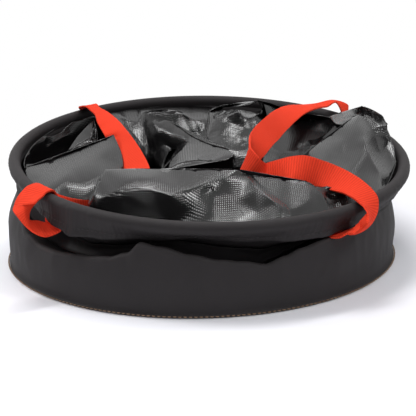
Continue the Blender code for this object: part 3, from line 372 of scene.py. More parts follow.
            ("n0 n1 n2 n3 n4 n5 n6 n7 n8 n9", (0, 8, -36)), ("n9 m9 m8 m7 m6 m5 m4 m3", (0, 6, -36)),
            ("j4 j3 j2 j1", (-3, 6, -36)), ("c8 j0 o5", (4, 2, -30)),
        ),
    },
    "peak": {
        "points": {
            "s0": (92, 5), "s1": (86, 5), "s2": (80, 5), "s3": (75, 5), "s4": (69, 5), "s5": (63, 5),
            "s6": (57, 5), "a9": (284, 108, 120), "d4": (284, 118, 108), "k1": (211.5, 116.7, 126),
            "k2": (219, 114.8, 121), "k3": (226.8, 111.6, 116), "k4": (239.5, 105.8, 108),
            "k5": (249, 102.5, 103), "k6": (257.4, 100.7, 100), "l3": (225.5, 116, 110),
            "l4": (239.5, 110.6, 103), "l5": (251, 104.8, 99), "a7": (264, 102, 106),
            "a8": (274, 105, 114), "b0": (256.5, 114, 91), "b1": (254.2, 128, 82), "b2": (250, 137, 74),
            "t2": (230.6, 120.8, 104), "t3": (241, 127.5, 95), "t4": (248.5, 128.8, 90),
            "t5": (247, 116, 97), "c0": (213, 128, 108), "c6": (207.5, 138.4, 90), "c7": (218.5, 138, 84),
            "c8": (222, 124, 106), "c9": (213, 133, 98), "u1": (222, 132, 94), "u2": (229, 127, 98),
            "u3": (236, 132, 90), "u4": (228, 140, 82), "u5": (236, 141, 80), "u6": (241, 136, 84),
            "u7": (244, 143, 76), "u8": (249.5, 143, 72), "x1": (222, 147, 66), "x2": (232, 150, 62),
            "x3": (247, 151, 58), "x4": (213, 143, 76), "y1": (234, 156, 54), "y2": (236, 168, 46),
            "y3": (249, 157, 50), "y4": (250, 168, 44), "d0": (268, 118, 96), "d1": (264, 134, 76),
            "d2": (262, 152, 62), "d3": (262, 166, 52),
        },
        "creases": (
            ("k1 k2 k3 k4 k5 k6", 0.9), ("l3 l4 l5 k6", 0.7), ("k6 b0 b1 b2", 0.95), ("k6 a7 a8 a9", 0.7),
            ("c6 c7", 0.8), ("t2 t3 t4", 0.3), ("u2 u1 c9", 0.45), ("x4 x1 x2 x3", 0.5), ("y1 y2", 0.8),
            ("u3 u5", 0.35), ("l3 t2", 0.5),
        ),
        "outline": "k1 s0 s1 s2 s3 s4 s5 s6 a9 d4 d0 d1 d2 d3 y4 y2 y1 x1 x4 c6 c9 c0",
        "skirts": (
            ("c6 x4 x1 y1 y2 y4 d3", (0, -10, -40)),
        ),
    },
    "hollow": {
        "points": {
            "s0": (60, 5), "s1": (54, 5), "s2": (48, 5), "s3": (42, 5), "s4": (36, 5), "s5": (30, 5),
            "a0": (272, 112, 112), "a1": (288, 115, 112), "a2": (310, 116, 112), "a3": (332, 120, 104),
            "a4": (344, 117, 80), "b0": (264, 128, 84), "b1": (276, 122, 92), "b2": (288, 119.4, 96),
            "b3": (310, 119.4, 98), "b4": (332, 125, 88), "b5": (329, 132, 74), "b6": (321, 137, 62),
            "b7": (305, 137, 68), "b8": (296, 139, 68), "b9": (288, 131, 84), "c0": (262, 146, 50),
            "c1": (262, 164, 8), "c2": (276, 162, 4), "c3": (290, 160, 0), "c4": (303, 157, -6),
            "c5": (312, 148, 10), "c6": (324, 140, 26), "c7": (335, 132, 46), "c8": (346, 124, 62),
            "c9": (303, 143.5, 66), "c10": (292, 146, 62), "c11": (279, 148, 58),
        },
        "creases": (
            ("b1 b2 b3 b4 b5 b6 b7 b8", 0.8), ("b2 b9 b8", 0.5), ("a0 a1 a2 a3", 0.3),
        ),
        "outline": "s0 s1 s2 s3 s4 s5 a4 c8 c7 c6 c5 c4 c3 c2 c1 c0 b0 a0",
        "skirts": (
            ("c8 c7 c6 c5 c4 c3 c2 c1 c0 b0", (0, -14, -34)),
        ),
    },
    "hump": {
        "points": {
            "a0": (304.7, 155.5, -34), "a1": (311, 149, -22), "a2": (320, 141.5, -10),
            "a3": (331, 134.3, 4), "a4": (342, 126, 18), "a5": (351.5, 117.6, 32), "a6": (358, 114.8, 33),
            "a7": (362.5, 117.6, 27), "a8": (372, 122.9, 15), "a9": (382, 125.5, 6),
            "a10": (386.5, 126.5, 4), "b0": (391, 137, -6), "b1": (395, 147, -14), "b2": (396.3, 162, -34),
            "b3": (391, 175, -58), "b4": (385, 184.7, -76), "s0": (333, 5), "s1": (327, 5), "s2": (321, 5),
            "s3": (316, 5), "c0": (306, 166, -56), "c1": (318, 176, -84), "c2": (335, 186, -104),
            "v0": (363, 136, -20), "v1": (367, 150, -47), "v2": (374, 163, -62), "v3": (381, 175, -73),
            "m0": (330, 148, -34), "m1": (345, 140, -14), "m2": (325, 160, -58), "m3": (345, 158.5, -47),
            "m4": (352, 172, -80), "m5": (340, 174, -82), "m6": (379, 140, 0), "m7": (386, 158, -26),
            "m8": (366, 172, -76), "m9": (355, 125, 6), "m10": (372, 130, 2),
        },
        "creases": (
            ("a0 a1 a2 a3 a4 a5", 0.9), ("a5 a6 a7 a8 a9 a10", 0.8), ("a10 b0 b1 b2", 0.5),
            ("b2 b3 b4", 0.4), ("v0 v1 v2 v3 b4", 0.75), ("a7 v0", 0.2),
        ),
        "outline": "a0 a1 a2 a3 a4 a5 a6 a7 a8 a9 a10 b0 b1 b2 b3 b4 s0 s1 s2 s3 c2 c1 c0",
        "skirts": (
            ("c2 c1 c0 a0 a1 a2 a3 a4 a5", (6, 10, -36)), ("b4 b3 b2 b1 b0 a10", (-4, 4, -34)),
        ),
    },
    "hump_top": {
        "points": {
            "a0": (362, 106.2, 54), "a1": (371, 109.5, 46), "a2": (383, 116, 26), "a3": (387, 124, 8),
            "a4": (386.5, 127, 5), "b0": (351, 109.3, 64), "b1": (341, 112.5, 76), "b2": (330, 115.5, 88),
            "c0": (352, 117.2, 34), "c1": (359, 114.4, 34.5), "c2": (363, 117.3, 28.5),
            "c3": (372, 122.6, 16), "c4": (382, 125.2, 7), "d0": (366, 112, 62), "d1": (374, 116, 48),
            "d2": (380, 120, 33), "d3": (358, 111.6, 62), "e0": (342, 125, 30), "e1": (334, 124, 52),
            "e2": (342, 119, 56), "g0": (369, 108.6, 49), "g1": (375, 117.5, 30),
        },
        "creases": (
            ("b2 b1 b0 a0", 0.9), ("a0 a1 a2 a3", 0.9), ("a0 d0 d1", 0.9), ("a1 g1 c3", 0.8),
            ("c0 c1 c2 c3 c4", 0.5), ("a0 d3 c0", 0.7),
        ),
        "outline": "a0 a1 a2 a3 a4 c4 c3 c2 c1 c0 e0 e1 b2 b1 b0",
        "skirts": (
            ("b2 b1 b0 a0 a1 a2 a3", (6, 14, -40)),
        ),
    },
    "spike": {
        "points": {
            "k0": (94, 119.3, 100), "k3": (80.5, 132.3, 78), "k4": (72, 143.4, 56), "k5": (68, 151, 42),
            "r1": (92.8, 127.8, 83), "r2": (92.4, 134, 73), "r3": (91, 138, 67), "r4": (76.6, 146, 50),
            "q1": (96.6, 128, 88), "q2": (97.8, 136, 74), "q3": (97.6, 141, 66), "z1": (95, 132, 86),
            "z2": (94.8, 137.5, 78),
        },
        "creases": (
            ("k0 k3 k4 k5", 0.8), ("k0 r1 r2 r3", 0.9), ("k0 q1 q2 q3", 0.9), ("r3 r4 k5", 0.8),
        ),
        "outline": "k0 k3 k4 k5 r4 r3 z2 q3 q2 q1",
        "skirts": (
            ("k5 k4 k3 k0", (-2, 14, -20)), ("k0 q1 q2 q3 z2 r3 r4 k5", (3, 10, -30)),
        ),
    },
}

# Each handle's webbing from its front end to its rear end: its lower edge and its upper edge, in millimetres.
# These were worked out by a fit to the picture, and not placed by hand
WEBBING = {
    "left": (
        ((-141.5, -126.5, 66.5), (-125.7, -146.7, 64.1)), ((-148, -132.2, 69.9), (-136.8, -152.9, 61.4)),
        ((-155.4, -135.5, 72.2), (-145.5, -157.8, 66.2)), ((-153, -136.8, 81.7), (-152.9, -160.8, 74.2)),
        ((-146.5, -140, 89.5), (-159.7, -160.3, 83)), ((-142.5, -147.4, 94), (-164.8, -151.5, 85.2)),
        ((-144.6, -155.7, 93), (-165.3, -142.7, 87.4)), ((-141.9, -148.6, 94.6), (-163.6, -136, 92.7)),
        ((-139.2, -142, 95.7), (-160.4, -128.6, 96.8)), ((-136.6, -136.5, 97.9), (-155.8, -121.2, 100.2)),
        ((-130.8, -129.5, 96.6), (-148, -112.5, 99.9)), ((-127.8, -124, 81.5), (-140.7, -108, 92.8)),
        ((-125.8, -123, 72.7), (-130.8, -113, 90.1)), ((-119.8, -122, 67.5), (-120.3, -117, 87.6)),
        ((-110.2, -119, 64.5), (-110.2, -117, 85.5)), ((-99.2, -111, 63.9), (-100.2, -110, 83)),
        ((-90.2, -82.6, 60.3), (-90.4, -92, 83.5)), ((-78.7, -96, 73), (-64.8, -76, 79.3)),
        ((-73.1, -81.5, 75.9), (-53.6, -67, 81.8)), ((-72.3, -54.5, 80), (-48.8, -54, 88.6)),
        ((-73.4, -43, 87.5), (-49.8, -40, 95.6)), ((-77.9, -29, 92.6), (-54, -25, 101.1)),
        ((-82.4, -16, 97.1), (-59.3, -11, 107.1)), ((-87.1, -2.5, 100.6), (-65.2, 3, 112.8)),
        ((-92.2, 18.5, 103.7), (-71.4, 18, 117.5)), ((-98.1, 37.5, 107.7), (-77.3, 34, 121)),
        ((-101.9, 35.5, 115.8), (-82.9, 50, 123.2)), ((-107.6, 50.5, 120.8), (-88.6, 66, 125.5)),
        ((-113.3, 65, 126.7), (-95, 82, 127.4)), ((-117.9, 88, 130.3), (-102.1, 98, 129.4)),
        ((-124.8, 101.9, 133.6), (-110, 114, 131)), ((-132.1, 114, 136.4), (-116.7, 128, 131.8)),
        ((-140.2, 123.8, 134.2), (-121.5, 140.3, 134.1)), ((-141.9, 130.7, 132.3), (-123.3, 147.4, 133.4)),
        ((-143.1, 137.7, 130.6), (-124.5, 154.3, 132.6)), ((-142.5, 143.9, 127.6), (-124.2, 160.5, 130.8)),
        ((-139.2, 148.8, 123.1), (-121.2, 165.6, 127.5)), ((-133.8, 152.4, 118.9), (-116.1, 169.4, 123.9)),
        ((-127.9, 155.8, 115.6), (-109.8, 172.3, 120.1)), ((-124.4, 162, 111.8), (-104.6, 177.2, 113.6)),
        ((-113, 157.1, 106.1), (-93.2, 171.2, 107.2)),
    ),
    "right": (
        ((133, -143.6, 59.2), (113.5, -158.6, 57.8)), ((141.4, -153.6, 66.4), (121.4, -167.8, 59.8)),
        ((145, -155.3, 67), (126.8, -172.5, 64.4)), ((148.5, -158.8, 72.1), (132.1, -176.7, 65.9)),
        ((146.3, -164.2, 80), (129.9, -166.2, 61.9)), ((144.6, -175.6, 74.2), (140.3, -155.8, 60.1)),
        ((146.1, -169.3, 80.9), (151.1, -150.6, 65.2)), ((143.6, -162.7, 86), (158.2, -145.4, 75.1)),
        ((141.6, -156.6, 86.8), (159.7, -140.7, 86.4)), ((136.3, -149.9, 90.2), (156.5, -135.1, 92.7)),
        ((131.9, -142.3, 91.4), (151.7, -128, 97.3)), ((128, -134.7, 91.7), (145.5, -120.5, 101.5)),
        ((120.5, -125.4, 91.6), (136, -112.9, 106.6)), ((113.6, -115.4, 91.1), (124.8, -106.7, 111.3)),
        ((104.7, -107.7, 92.8), (112.6, -102.2, 115.5)), ((94.1, -109.8, 97.3), (99.7, -98.7, 118.7)),
        ((84, -111.8, 99.8), (87.5, -94.4, 117.2)), ((75.2, -105.9, 94.2), (75.6, -89.9, 113.5)),
        ((64.4, -101.5, 89.6), (64.4, -86.2, 109.7)), ((52.7, -101.2, 90.9), (61.3, -94.8, 112)),
        ((42.3, -99, 97.2), (56.1, -102, 118.1)), ((38.5, -88.4, 102.5), (49.2, -93.7, 125.1)),
        ((45.2, -77.8, 102.8), (48.2, -82.1, 126.8)), ((54.2, -66.4, 104.9), (48.8, -68.2, 129.2)),
        ((62.6, -54, 108.8), (50, -52.9, 130.3)), ((69.5, -39.6, 112.9), (52.8, -36.5, 131.5)),
        ((75.3, -23.3, 115.1), (57.9, -19, 133.9)), ((80.8, -5.3, 115.4), (64.3, -0.8, 135.5)),
        ((88.4, 13.8, 118.8), (71.4, 18.7, 137.1)), ((96.6, 33, 122), (77.8, 39.5, 137.3)),
        ((105.4, 52.4, 125.2), (85, 60.9, 136.8)), ((115.1, 71.2, 128.5), (94.2, 82.4, 136.3)),
        ((125.8, 89, 130.3), (105.7, 103.1, 134.5)), ((137.4, 104.4, 130.9), (119.8, 121.9, 131.7)),
        ((147.9, 113.9, 130.6), (137, 136.6, 130.6)), ((160.6, 125.9, 132.7), (157.8, 143.2, 133.3)),
        ((173, 139.9, 106.9), (176.3, 148.6, 127.1)), ((175.5, 141.2, 97.3), (174.8, 157.8, 115.9)),
        ((173.1, 149.5, 88.8), (165.2, 163.9, 107.7)), ((161.6, 149.1, 83.9), (152.7, 164.3, 101.7)),
        ((154, 136.1, 96.4), (136.8, 153, 98.9)),
    ),
}


# Materials
def shader_material(name, color, roughness, specular=0.5):
    made = bpy.data.materials.new(name)
    made.use_nodes = True
    shader = made.node_tree.nodes["Principled BSDF"]
    shader.inputs["Base Color"].default_value = (*color, 1)
    shader.inputs["Roughness"].default_value = roughness
    shader.inputs["Specular IOR Level"].default_value = specular
    return made, made.node_tree, shader


def add_node(tree, kind, **inputs):
    node = tree.nodes.new(kind)
    for key, value in inputs.items():
        node.inputs[key.replace("_", " ")].default_value = value
    return node


def math_node(tree, operation, *values):
    """The result of a Math node, from sockets and plain numbers."""
    node = tree.nodes.new("ShaderNodeMath")
    node.operation = operation
    for socket, value in zip(node.inputs, values):
        if isinstance(value, float):
            socket.default_value = value
        else:
            tree.links.new(value, socket)
    return node.outputs["Value"]


def map_range(tree, value, start, end, low=0.0, high=1.0, kind="LINEAR"):
    """Runs from low at start to high at end."""
    node = tree.nodes.new("ShaderNodeMapRange")
    node.interpolation_type = kind
    for key, limit in (("From Min", start), ("From Max", end), ("To Min", low), ("To Max", high)):
        node.inputs[key].default_value = limit
    tree.links.new(value, node.inputs["Value"])
    return node.outputs["Result"]


def thread_waves(tree, pitch, turn=0.0, way="X", **inputs):
    """Bands at a pitch in metres across a piece's UVs, which are in metres too."""
    place = tree.nodes.new("ShaderNodeTexCoord")
    turned = add_node(tree, "ShaderNodeMapping", Rotation=(0, 0, turn))
    tree.links.new(place.outputs["UV"], turned.inputs["Vector"])
    wave = add_node(tree, "ShaderNodeTexWave", Scale=math.pi / 10 / pitch, **inputs)
    wave.bands_direction = way
    tree.links.new(turned.outputs["Vector"], wave.inputs["Vector"])
    return wave.outputs["Fac"]


def weave_height(tree, pitch):
    """Two crossed sets of threads."""
    return math_node(tree, "MULTIPLY", *(thread_waves(tree, pitch, way=way) for way in "XY"))


def noise_height(tree, scale, detail=3.0):
    place = tree.nodes.new("ShaderNodeTexCoord")
    made = add_node(tree, "ShaderNodeTexNoise", Scale=scale, Detail=detail)
    tree.links.new(place.outputs["Object"], made.inputs["Vector"])
    return made.outputs["Fac"]


def add_bumps(tree, shader, *layers):
    """Bumps from (height, distance in metres, strength) layers, one on another."""
    normal = None
    for height, distance, strength in layers:
        bump = add_node(tree, "ShaderNodeBump", Strength=strength, Distance=distance)
        tree.links.new(height, bump.inputs["Height"])
        if normal:
            tree.links.new(normal, bump.inputs["Normal"])
        normal = bump.outputs["Normal"]
    tree.links.new(normal, shader.inputs["Normal"])


def vary_roughness(tree, shader, factor, low, high):
    tree.links.new(map_range(tree, factor, 0, 1, low, high), shader.inputs["Roughness"])


def vary_color(tree, shader, factor, low, high):
    mix = tree.nodes.new("ShaderNodeMix")
    mix.data_type = "RGBA"
    mix.inputs["A"].default_value = (*low, 1)
    mix.inputs["B"].default_value = (*high, 1)
    tree.links.new(factor, mix.inputs["Factor"])
    tree.links.new(mix.outputs["Result"], shader.inputs["Base Color"])


def coated_fabric():
    """The wall's inside: black coating with a shine, over a scrim that shows through it."""
    made, tree, shader = shader_material("coated_fabric", (0.004, 0.0038, 0.004), 0.10, 0.50)
    smudge = noise_height(tree, 30, 3)
    vary_roughness(tree, shader, smudge, 0.07, 0.15)
    vary_color(tree, shader, smudge, (0.003, 0.0028, 0.003), (0.006, 0.0055, 0.0058))
    scrim = weave_height(tree, SCRIM_PITCH)
    add_bumps(tree, shader, (noise_height(tree, 40, 2), 0.0004, 0.15), (scrim, 0.0002, 0.6))
    return made


def matte_fabric():
    """The wall's outside: charcoal, dull, with a fine weave."""
    made, tree, shader = shader_material("matte_fabric", (0.029, 0.026, 0.027), 0.62, 0.14)
    patch = noise_height(tree, 22, 4)
    vary_color(tree, shader, patch, (0.025, 0.0225, 0.023), (0.034, 0.0305, 0.0315))
    vary_roughness(tree, shader, patch, 0.55, 0.70)
    weave = weave_height(tree, WEAVE_PITCH)
    add_bumps(tree, shader, (noise_height(tree, 45, 3), 0.0008, 0.2), (weave, 0.0001, 0.5))
    return made


def webbing():
    """Orange-red polypropylene webbing, ribbed across with a fine twill."""
    made, tree, shader = shader_material("webbing", (0.80, 0.055, 0.022), 0.80, 0.06)
    ribs = thread_waves(tree, RIB_PITCH, Distortion=0.4, Detail=1.0)
    twill = thread_waves(tree, TWILL_PITCH, math.radians(52), Distortion=0.3)
    height = math_node(tree, "MULTIPLY", math_node(tree, "ADD", ribs, twill), 0.5)
    vary_color(tree, shader, height, (0.58, 0.032, 0.014), (0.92, 0.068, 0.028))
    add_bumps(tree, shader, (height, 0.0005, 0.7))
    return made


def thread(name, color):
    made, tree, shader = shader_material(name, color, 0.8, 0.3)
    dark, light = (tuple(share * part for part in color) for share in (0.7, 1.2))
    vary_color(tree, shader, noise_height(tree, 900, 2), dark, light)
    return made


def moulded_plastic():
    made, tree, shader = shader_material("hoop_plastic", (0.05, 0.05, 0.052), 0.45)
    add_bumps(tree, shader, (noise_height(tree, 400, 2), 0.0002, 0.3))
    return made


# Meshes
def polar(angle, radius, height=0.0):
    turn = math.radians(angle)
    return Vector((radius * math.cos(turn), radius * math.sin(turn), height))


def ease(share):
    """From 0 to 1, slow at both ends."""
    return share * share * (3 - 2 * share)


def within_one(number):
    return max(0, min(1, number))


def at_angle(table, angle):
    angle %= 360
    for (before, low), (after, high) in zip(table, table[1:]):
        if before <= angle <= after:
            return low + (high - low) * ease((angle - before) / (after - before))
    return table[-1][1]


def link(obj):
    bpy.context.scene.collection.objects.link(obj)
    return obj


def mesh_object(name, points, faces, finish, uvs=None):
    mesh = bpy.data.meshes.new(name)
    mesh.from_pydata([tuple(p) for p in points], [], faces)
    mesh.materials.append(finish)
    if uvs is not None:
        layer = mesh.uv_layers.new(name="UVMap")
        for loop in mesh.loops:
            layer.data[loop.index].uv = uvs[loop.vertex_index]
    mesh.shade_smooth()
    return link(bpy.data.objects.new(name, mesh))


def grid_faces(rows, columns, around):
    faces = []
    for row in range(rows - 1):
        for column in range(columns if around else columns - 1):
            after = (column + 1) % columns
            low, high = row * columns, (row + 1) * columns
            faces.append((low + column, low + after, high + after, high + column))
    return faces


def ring_sheet(name, rows, finish, step):
    """A sheet through rings of points, a step apart along each ring, with UVs in metres."""
    columns = len(rows[0])
    every = columns // 24
    across, uvs = 0.0, []
    for index, row in enumerate(rows):
        if index:
            gaps = [(a - b).length for a, b in zip(row[::every], rows[index - 1][::every])]
            across += sum(gaps) / len(gaps)
        uvs += [(column * step, across) for column in range(columns)]
    points = [point for row in rows for point in row]
    return mesh_object(name, points, grid_faces(len(rows), columns, True), finish, uvs)


def apply_modifiers(obj):
    bpy.context.view_layer.update()
    graph = bpy.context.evaluated_depsgraph_get()
    shown = obj.evaluated_get(graph)
    mesh = bpy.data.meshes.new_from_object(shown, preserve_all_data_layers=True, depsgraph=graph)
    obj.modifiers.clear()
    obj.data = mesh
    return obj


def thicken(obj, thickness, offset):
    solid = obj.modifiers.new("thickness", "SOLIDIFY")
    solid.thickness = thickness
    solid.offset = offset
    return apply_modifiers(obj)


def add_bevel(obj, width, segments, angle):
    bevel = obj.modifiers.new("bevel", "BEVEL")
    bevel.width = width
    bevel.segments = segments
    bevel.limit_method = "ANGLE"
    bevel.angle_limit = math.radians(angle)


def face_uvs(mesh):
    """UVs in metres from each point's place, laid along the way that its faces look."""
    layer = mesh.uv_layers.get("UVMap") or mesh.uv_layers.new(name="UVMap")
    for face in mesh.polygons:
        x, y, z = (abs(part) for part in face.normal)
        first, second = (0, 1) if z > 0.5 else (0, 2) if y > x else (1, 2)
        for index in face.loop_indices:
            place = mesh.vertices[mesh.loops[index].vertex_index].co
            layer.data[index].uv = (place[first], place[second])


# Camera, floor and light
def look_at(obj, target, roll=0.0):
    turned = (target - obj.location).to_track_quat("-Z", "Y").to_matrix().to_4x4()
    obj.matrix_world = Matrix.Translation(obj.location) @ turned @ Matrix.Rotation(roll, 4, "Z")


def set_camera():
    data = bpy.data.cameras.new("camera")
    data.sensor_width = SENSOR_WIDTH
    data.lens = SENSOR_WIDTH * (FOCAL_PIXELS / PICTURE_SIZE)
    data.clip_start = CLIP_START
    camera = link(bpy.data.objects.new("camera", data))
    camera.location = CAMERA_PLACE
    look_at(camera, CAMERA_TARGET, CAMERA_ROLL)
    bpy.context.scene.camera = camera
    bpy.context.scene.view_settings.view_transform = "Standard"


def seen_at(point):
    """Where a point lies in the camera's picture, as two plain numbers."""
    way = point - CAMERA_PLACE
    return Vector((way.x, way.dot(CAMERA_UP))) / -way.dot(CAMERA_BACK)


def white_to_the_eye(tree, plain, white):
    """A plain shader, or a white one for the rays that the camera, a gloss or a glass sends out."""
    paths = tree.nodes.new("ShaderNodeLightPath").outputs
    seen = math_node(tree, "MAXIMUM", paths["Is Camera Ray"], paths["Is Glossy Ray"])
    mix = tree.nodes.new("ShaderNodeMixShader")
    tree.links.new(math_node(tree, "MAXIMUM", seen, paths["Is Transmission Ray"]), mix.inputs["Fac"])
    tree.links.new(plain, mix.inputs[1])
    tree.links.new(white, mix.inputs[2])
    return mix.outputs["Shader"]


def shade_of_near_side(tree, place, turn):
    """White to the eye. A gloss sees it white behind and above the object, and darker on the near side."""
    parts = tree.nodes.new("ShaderNodeSeparateXYZ")
    tree.links.new(place, parts.inputs["Vector"])
    height = math_node(tree, "MULTIPLY_ADD", parts.outputs["Z"], ROOM_HEIGHT_SHARE, parts.outputs["Y"])
    shade = map_range(tree, height, *turn, ROOM_NEAR, 1.0, "SMOOTHSTEP")
    paths = tree.nodes.new("ShaderNodeLightPath").outputs
    return math_node(tree, "MAXIMUM", paths["Is Camera Ray"], shade)


def set_world():
    world = bpy.data.worlds.new("studio")
    bpy.context.scene.world = world
    world.use_nodes = True
    tree = world.node_tree
    plain = tree.nodes["Background"]
    plain.inputs["Color"].default_value = (0.95, 0.96, 1.0, 1)
    plain.inputs["Strength"].default_value = 0.45
    white = add_node(tree, "ShaderNodeBackground", Strength=1.0)
    place = tree.nodes.new("ShaderNodeTexCoord")
    tree.links.new(shade_of_near_side(tree, place.outputs["Generated"], ROOM_TURN), white.inputs["Color"])
    both = white_to_the_eye(tree, plain.outputs["Background"], white.outputs["Background"])
    tree.links.new(both, tree.nodes["World Output"].inputs["Surface"])


def add_floor():
    """A pale floor that keeps the shadow round the object and turns to plain white further off."""
    finish, tree, shader = shader_material("floor", FLOOR_COLOR, 0.9, 0.0)
    white = tree.nodes.new("ShaderNodeEmission")
    place = tree.nodes.new("ShaderNodeTexCoord").outputs["Object"]
    tree.links.new(shade_of_near_side(tree, place, FLOOR_TURN), white.inputs["Color"])
    length = tree.nodes.new("ShaderNodeVectorMath")
    length.operation = "LENGTH"
    tree.links.new(place, length.inputs[0])
    fade = tree.nodes.new("ShaderNodeMixShader")
    far = map_range(tree, length.outputs["Value"], *FLOOR_FADE, kind="SMOOTHSTEP")
    tree.links.new(far, fade.inputs["Fac"])
    tree.links.new(shader.outputs["BSDF"], fade.inputs[1])
    both = white_to_the_eye(tree, shader.outputs["BSDF"], white.outputs["Emission"])
    tree.links.new(both, fade.inputs[2])
    tree.links.new(fade.outputs["Shader"], tree.nodes["Material Output"].inputs["Surface"])
    corners = [(x * FLOOR_REACH, y * FLOOR_REACH, 0) for x, y in ((-1, -1), (1, -1), (1, 1), (-1, 1))]
    floor = mesh_object("floor", corners, [(0, 1, 2, 3)], finish)
    floor.location.z = -FLOOR_DROP


def add_lights():
    for name, (place, size, power) in LIGHTS.items():
        data = bpy.data.lights.new(name, "AREA")
        data.shape = "RECTANGLE"
        data.size, data.size_y = size
        data.energy = power
        lamp = link(bpy.data.objects.new(name, data))
        lamp.location = place
        look_at(lamp, LIGHT_TARGET)


# The hem over the hoop
def hem_line(angle):
    """The hem's way down from the hoop, its outward side and its length, in the plane of the section."""
    out = HEM_DEPTH * at_angle(HEM_OUT_SHARES, angle)
    drop = HEM_DEPTH * at_angle(HEM_DROP_SHARES, angle)
    length = math.hypot(out, drop)
    down = Vector((out / length, -drop / length))
    return down, Vector((-down.y, down.x)), length


def hem_length(angle):
    return hem_line(angle)[2]


def hem_point(angle, depth, outward):
    """A place beside the hem in the world: depth down from the hoop's line, and outward of it."""
    down, side, _ = hem_line(angle)
    flat = down * depth + side * outward
    return RIM_PLACE @ polar(angle, RIM_RADIUS + flat.x, flat.y)


def seam_depth(length):
    return SLEEVE_RADIUS + (length - SLEEVE_RADIUS) * HEM_SEAM_SHARE


def pucker(angle, amount):
    """A small in-and-out of gathered cloth round the rim."""
    wide = noise.noise(Vector((angle * 0.16, 3.1, 0)))
    fine = noise.noise(Vector((angle * 1.5, 7.7, 0)))
    return amount * (0.6 * wide + fine * (0.35 + 0.65 * abs(wide)))


def hem_section(length):
    """(depth, outward) from the hem's outer lower edge over the hoop to its inner lower edge."""
    seam = seam_depth(length)
    touch = math.acos(min(1, (SLEEVE_RADIUS - HEM_LAYER) / seam))
    reach = SLEEVE_RADIUS * Vector((math.cos(touch), math.sin(touch)))
    outer = [(length, HEM_LAYER * 0.25)]
    outer += [(depth, HEM_LAYER) for depth in (length - HEM_EDGE, (length + seam) / 2, seam)]
    for share in HEM_RISE_SHARES:
        outer.append((seam + (reach.x - seam) * share, HEM_LAYER + (reach.y - HEM_LAYER) * share))
    arc = []
    for step in range(HEM_ARC_STEPS + 1):
        turn = touch + (2 * math.pi - 2 * touch) * step / HEM_ARC_STEPS
        arc.append((SLEEVE_RADIUS * math.cos(turn), SLEEVE_RADIUS * math.sin(turn)))
    return outer + arc + [(depth, -outward) for depth, outward in reversed(outer)]


def hem_ring(angle):
    """The hem's section at an angle, gathered and rippled, most at its lower edge, less on its inner side."""
    length = hem_length(angle)
    gather = at_angle(PUCKER_SHARES, angle)
    ring = []
    for depth, side in hem_section(length):
        share = within_one((depth + SLEEVE_RADIUS) / (length + SLEEVE_RADIUS))
        swell = pucker(angle, HEM_SWELL * gather * (0.25 + 0.75 * share))
        ripple = HEM_RIPPLE * noise.noise(Vector((angle * 0.5, depth * 300, 5)))
        lean = HEM_LEAN * gather * share * noise.noise(Vector((angle * 0.35, depth * 160, 9)))
        held = 1 if side > -0.002 else 0.3
        ring.append(hem_point(angle, depth + lean, side + (swell + ripple) * held))
    return ring


def build_hem(matte):
    rows = list(zip(*(hem_ring(360 * step / RIM_STEPS) for step in range(RIM_STEPS))))
    hem = ring_sheet("hem", rows, matte, 2 * math.pi * RIM_RADIUS / RIM_STEPS)
    thicken(hem, HEM_THICKNESS, HEM_SIDE)
    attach(hem, "rim")
    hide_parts("rim_hem")


def stitch_row(name, places, length, radius, finish):
    """Short threads, one at each (place, along, outward)."""
    points, faces = [], []
    for place, along, outward in places:
        across = along.cross(outward)
        start = len(points)
        for share, lift, width in STITCH_SHARES:
            middle = place + along * (length * share) + outward * (radius * lift)
            for turn in range(STITCH_SIDES):
                angle = 2 * math.pi * turn / STITCH_SIDES
                way = outward * math.cos(angle) + across * math.sin(angle)
                points.append(middle + way * (radius * width))
        net = grid_faces(len(STITCH_SHARES), STITCH_SIDES, True)
        faces += [tuple(start + corner for corner in face) for face in net]
        faces.append(tuple(reversed(range(start, start + STITCH_SIDES))))
        faces.append(tuple(range(len(points) - STITCH_SIDES, len(points))))
    return mesh_object(name, points, faces, finish)


def build_hem_stitching(finish):
    count = round(2 * math.pi * RIM_RADIUS / HEM_STITCH_PITCH)
    places = []
    for step in range(count):
        angle = 360 * step / count
        depth = seam_depth(hem_length(angle))
        place = hem_point(angle, depth, HEM_LAYER + 0.0001)
        after = hem_point(angle + 0.5, depth, HEM_LAYER + 0.0001)
        outside = hem_point(angle, depth, HEM_LAYER + 0.005)
        places.append((place, (after - place).normalized(), (outside - place).normalized()))
    length = HEM_STITCH_PITCH * STITCH_LENGTH_SHARE
    row = stitch_row("hem_stitches", places, length, HEM_STITCH_RADIUS, finish)
    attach(row, "rim")
    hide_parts("hem_stitching")


# The standing wall and the wall behind the hem
def wall_line(angle):
    """(radius, height) up the standing wall, over its soft top edge and down behind it."""
    top = at_angle(WALL_TOP, angle) * MM
    behind = at_angle(RECESS_SHARES, angle)
    shoulder = at_angle(SHOULDER, angle) * MM
    roll = ROLL_RADIUS * (0.55 + 0.45 * behind)
    line = [(WALL_RADIUS + out, height) for out, height in WALL_FOOT]
    straight = top - roll - WALL_BOTTOM
    for step in range(1, WALL_ROWS + 1):
        share = step / WALL_ROWS
        past = max(0, (share - SHOULDER_START_SHARE) / (1 - SHOULDER_START_SHARE))
        belly = WALL_BELLY * math.sin(math.pi * share)
        line.append((WALL_RADIUS + belly - shoulder * past * past, WALL_BOTTOM + straight * share))
    edge = line[-1][0]
    sweep = math.radians(20 + 135 * behind)
    for step in range(1, ROLL_STEPS + 1):
        turn = sweep * step / ROLL_STEPS
        line.append((edge - roll * (1 - math.cos(turn)), top - roll + roll * math.sin(turn)))
    line.append((edge - 2 * roll - 0.020 * behind, top + 0.004 - 0.014 * behind))
    return line


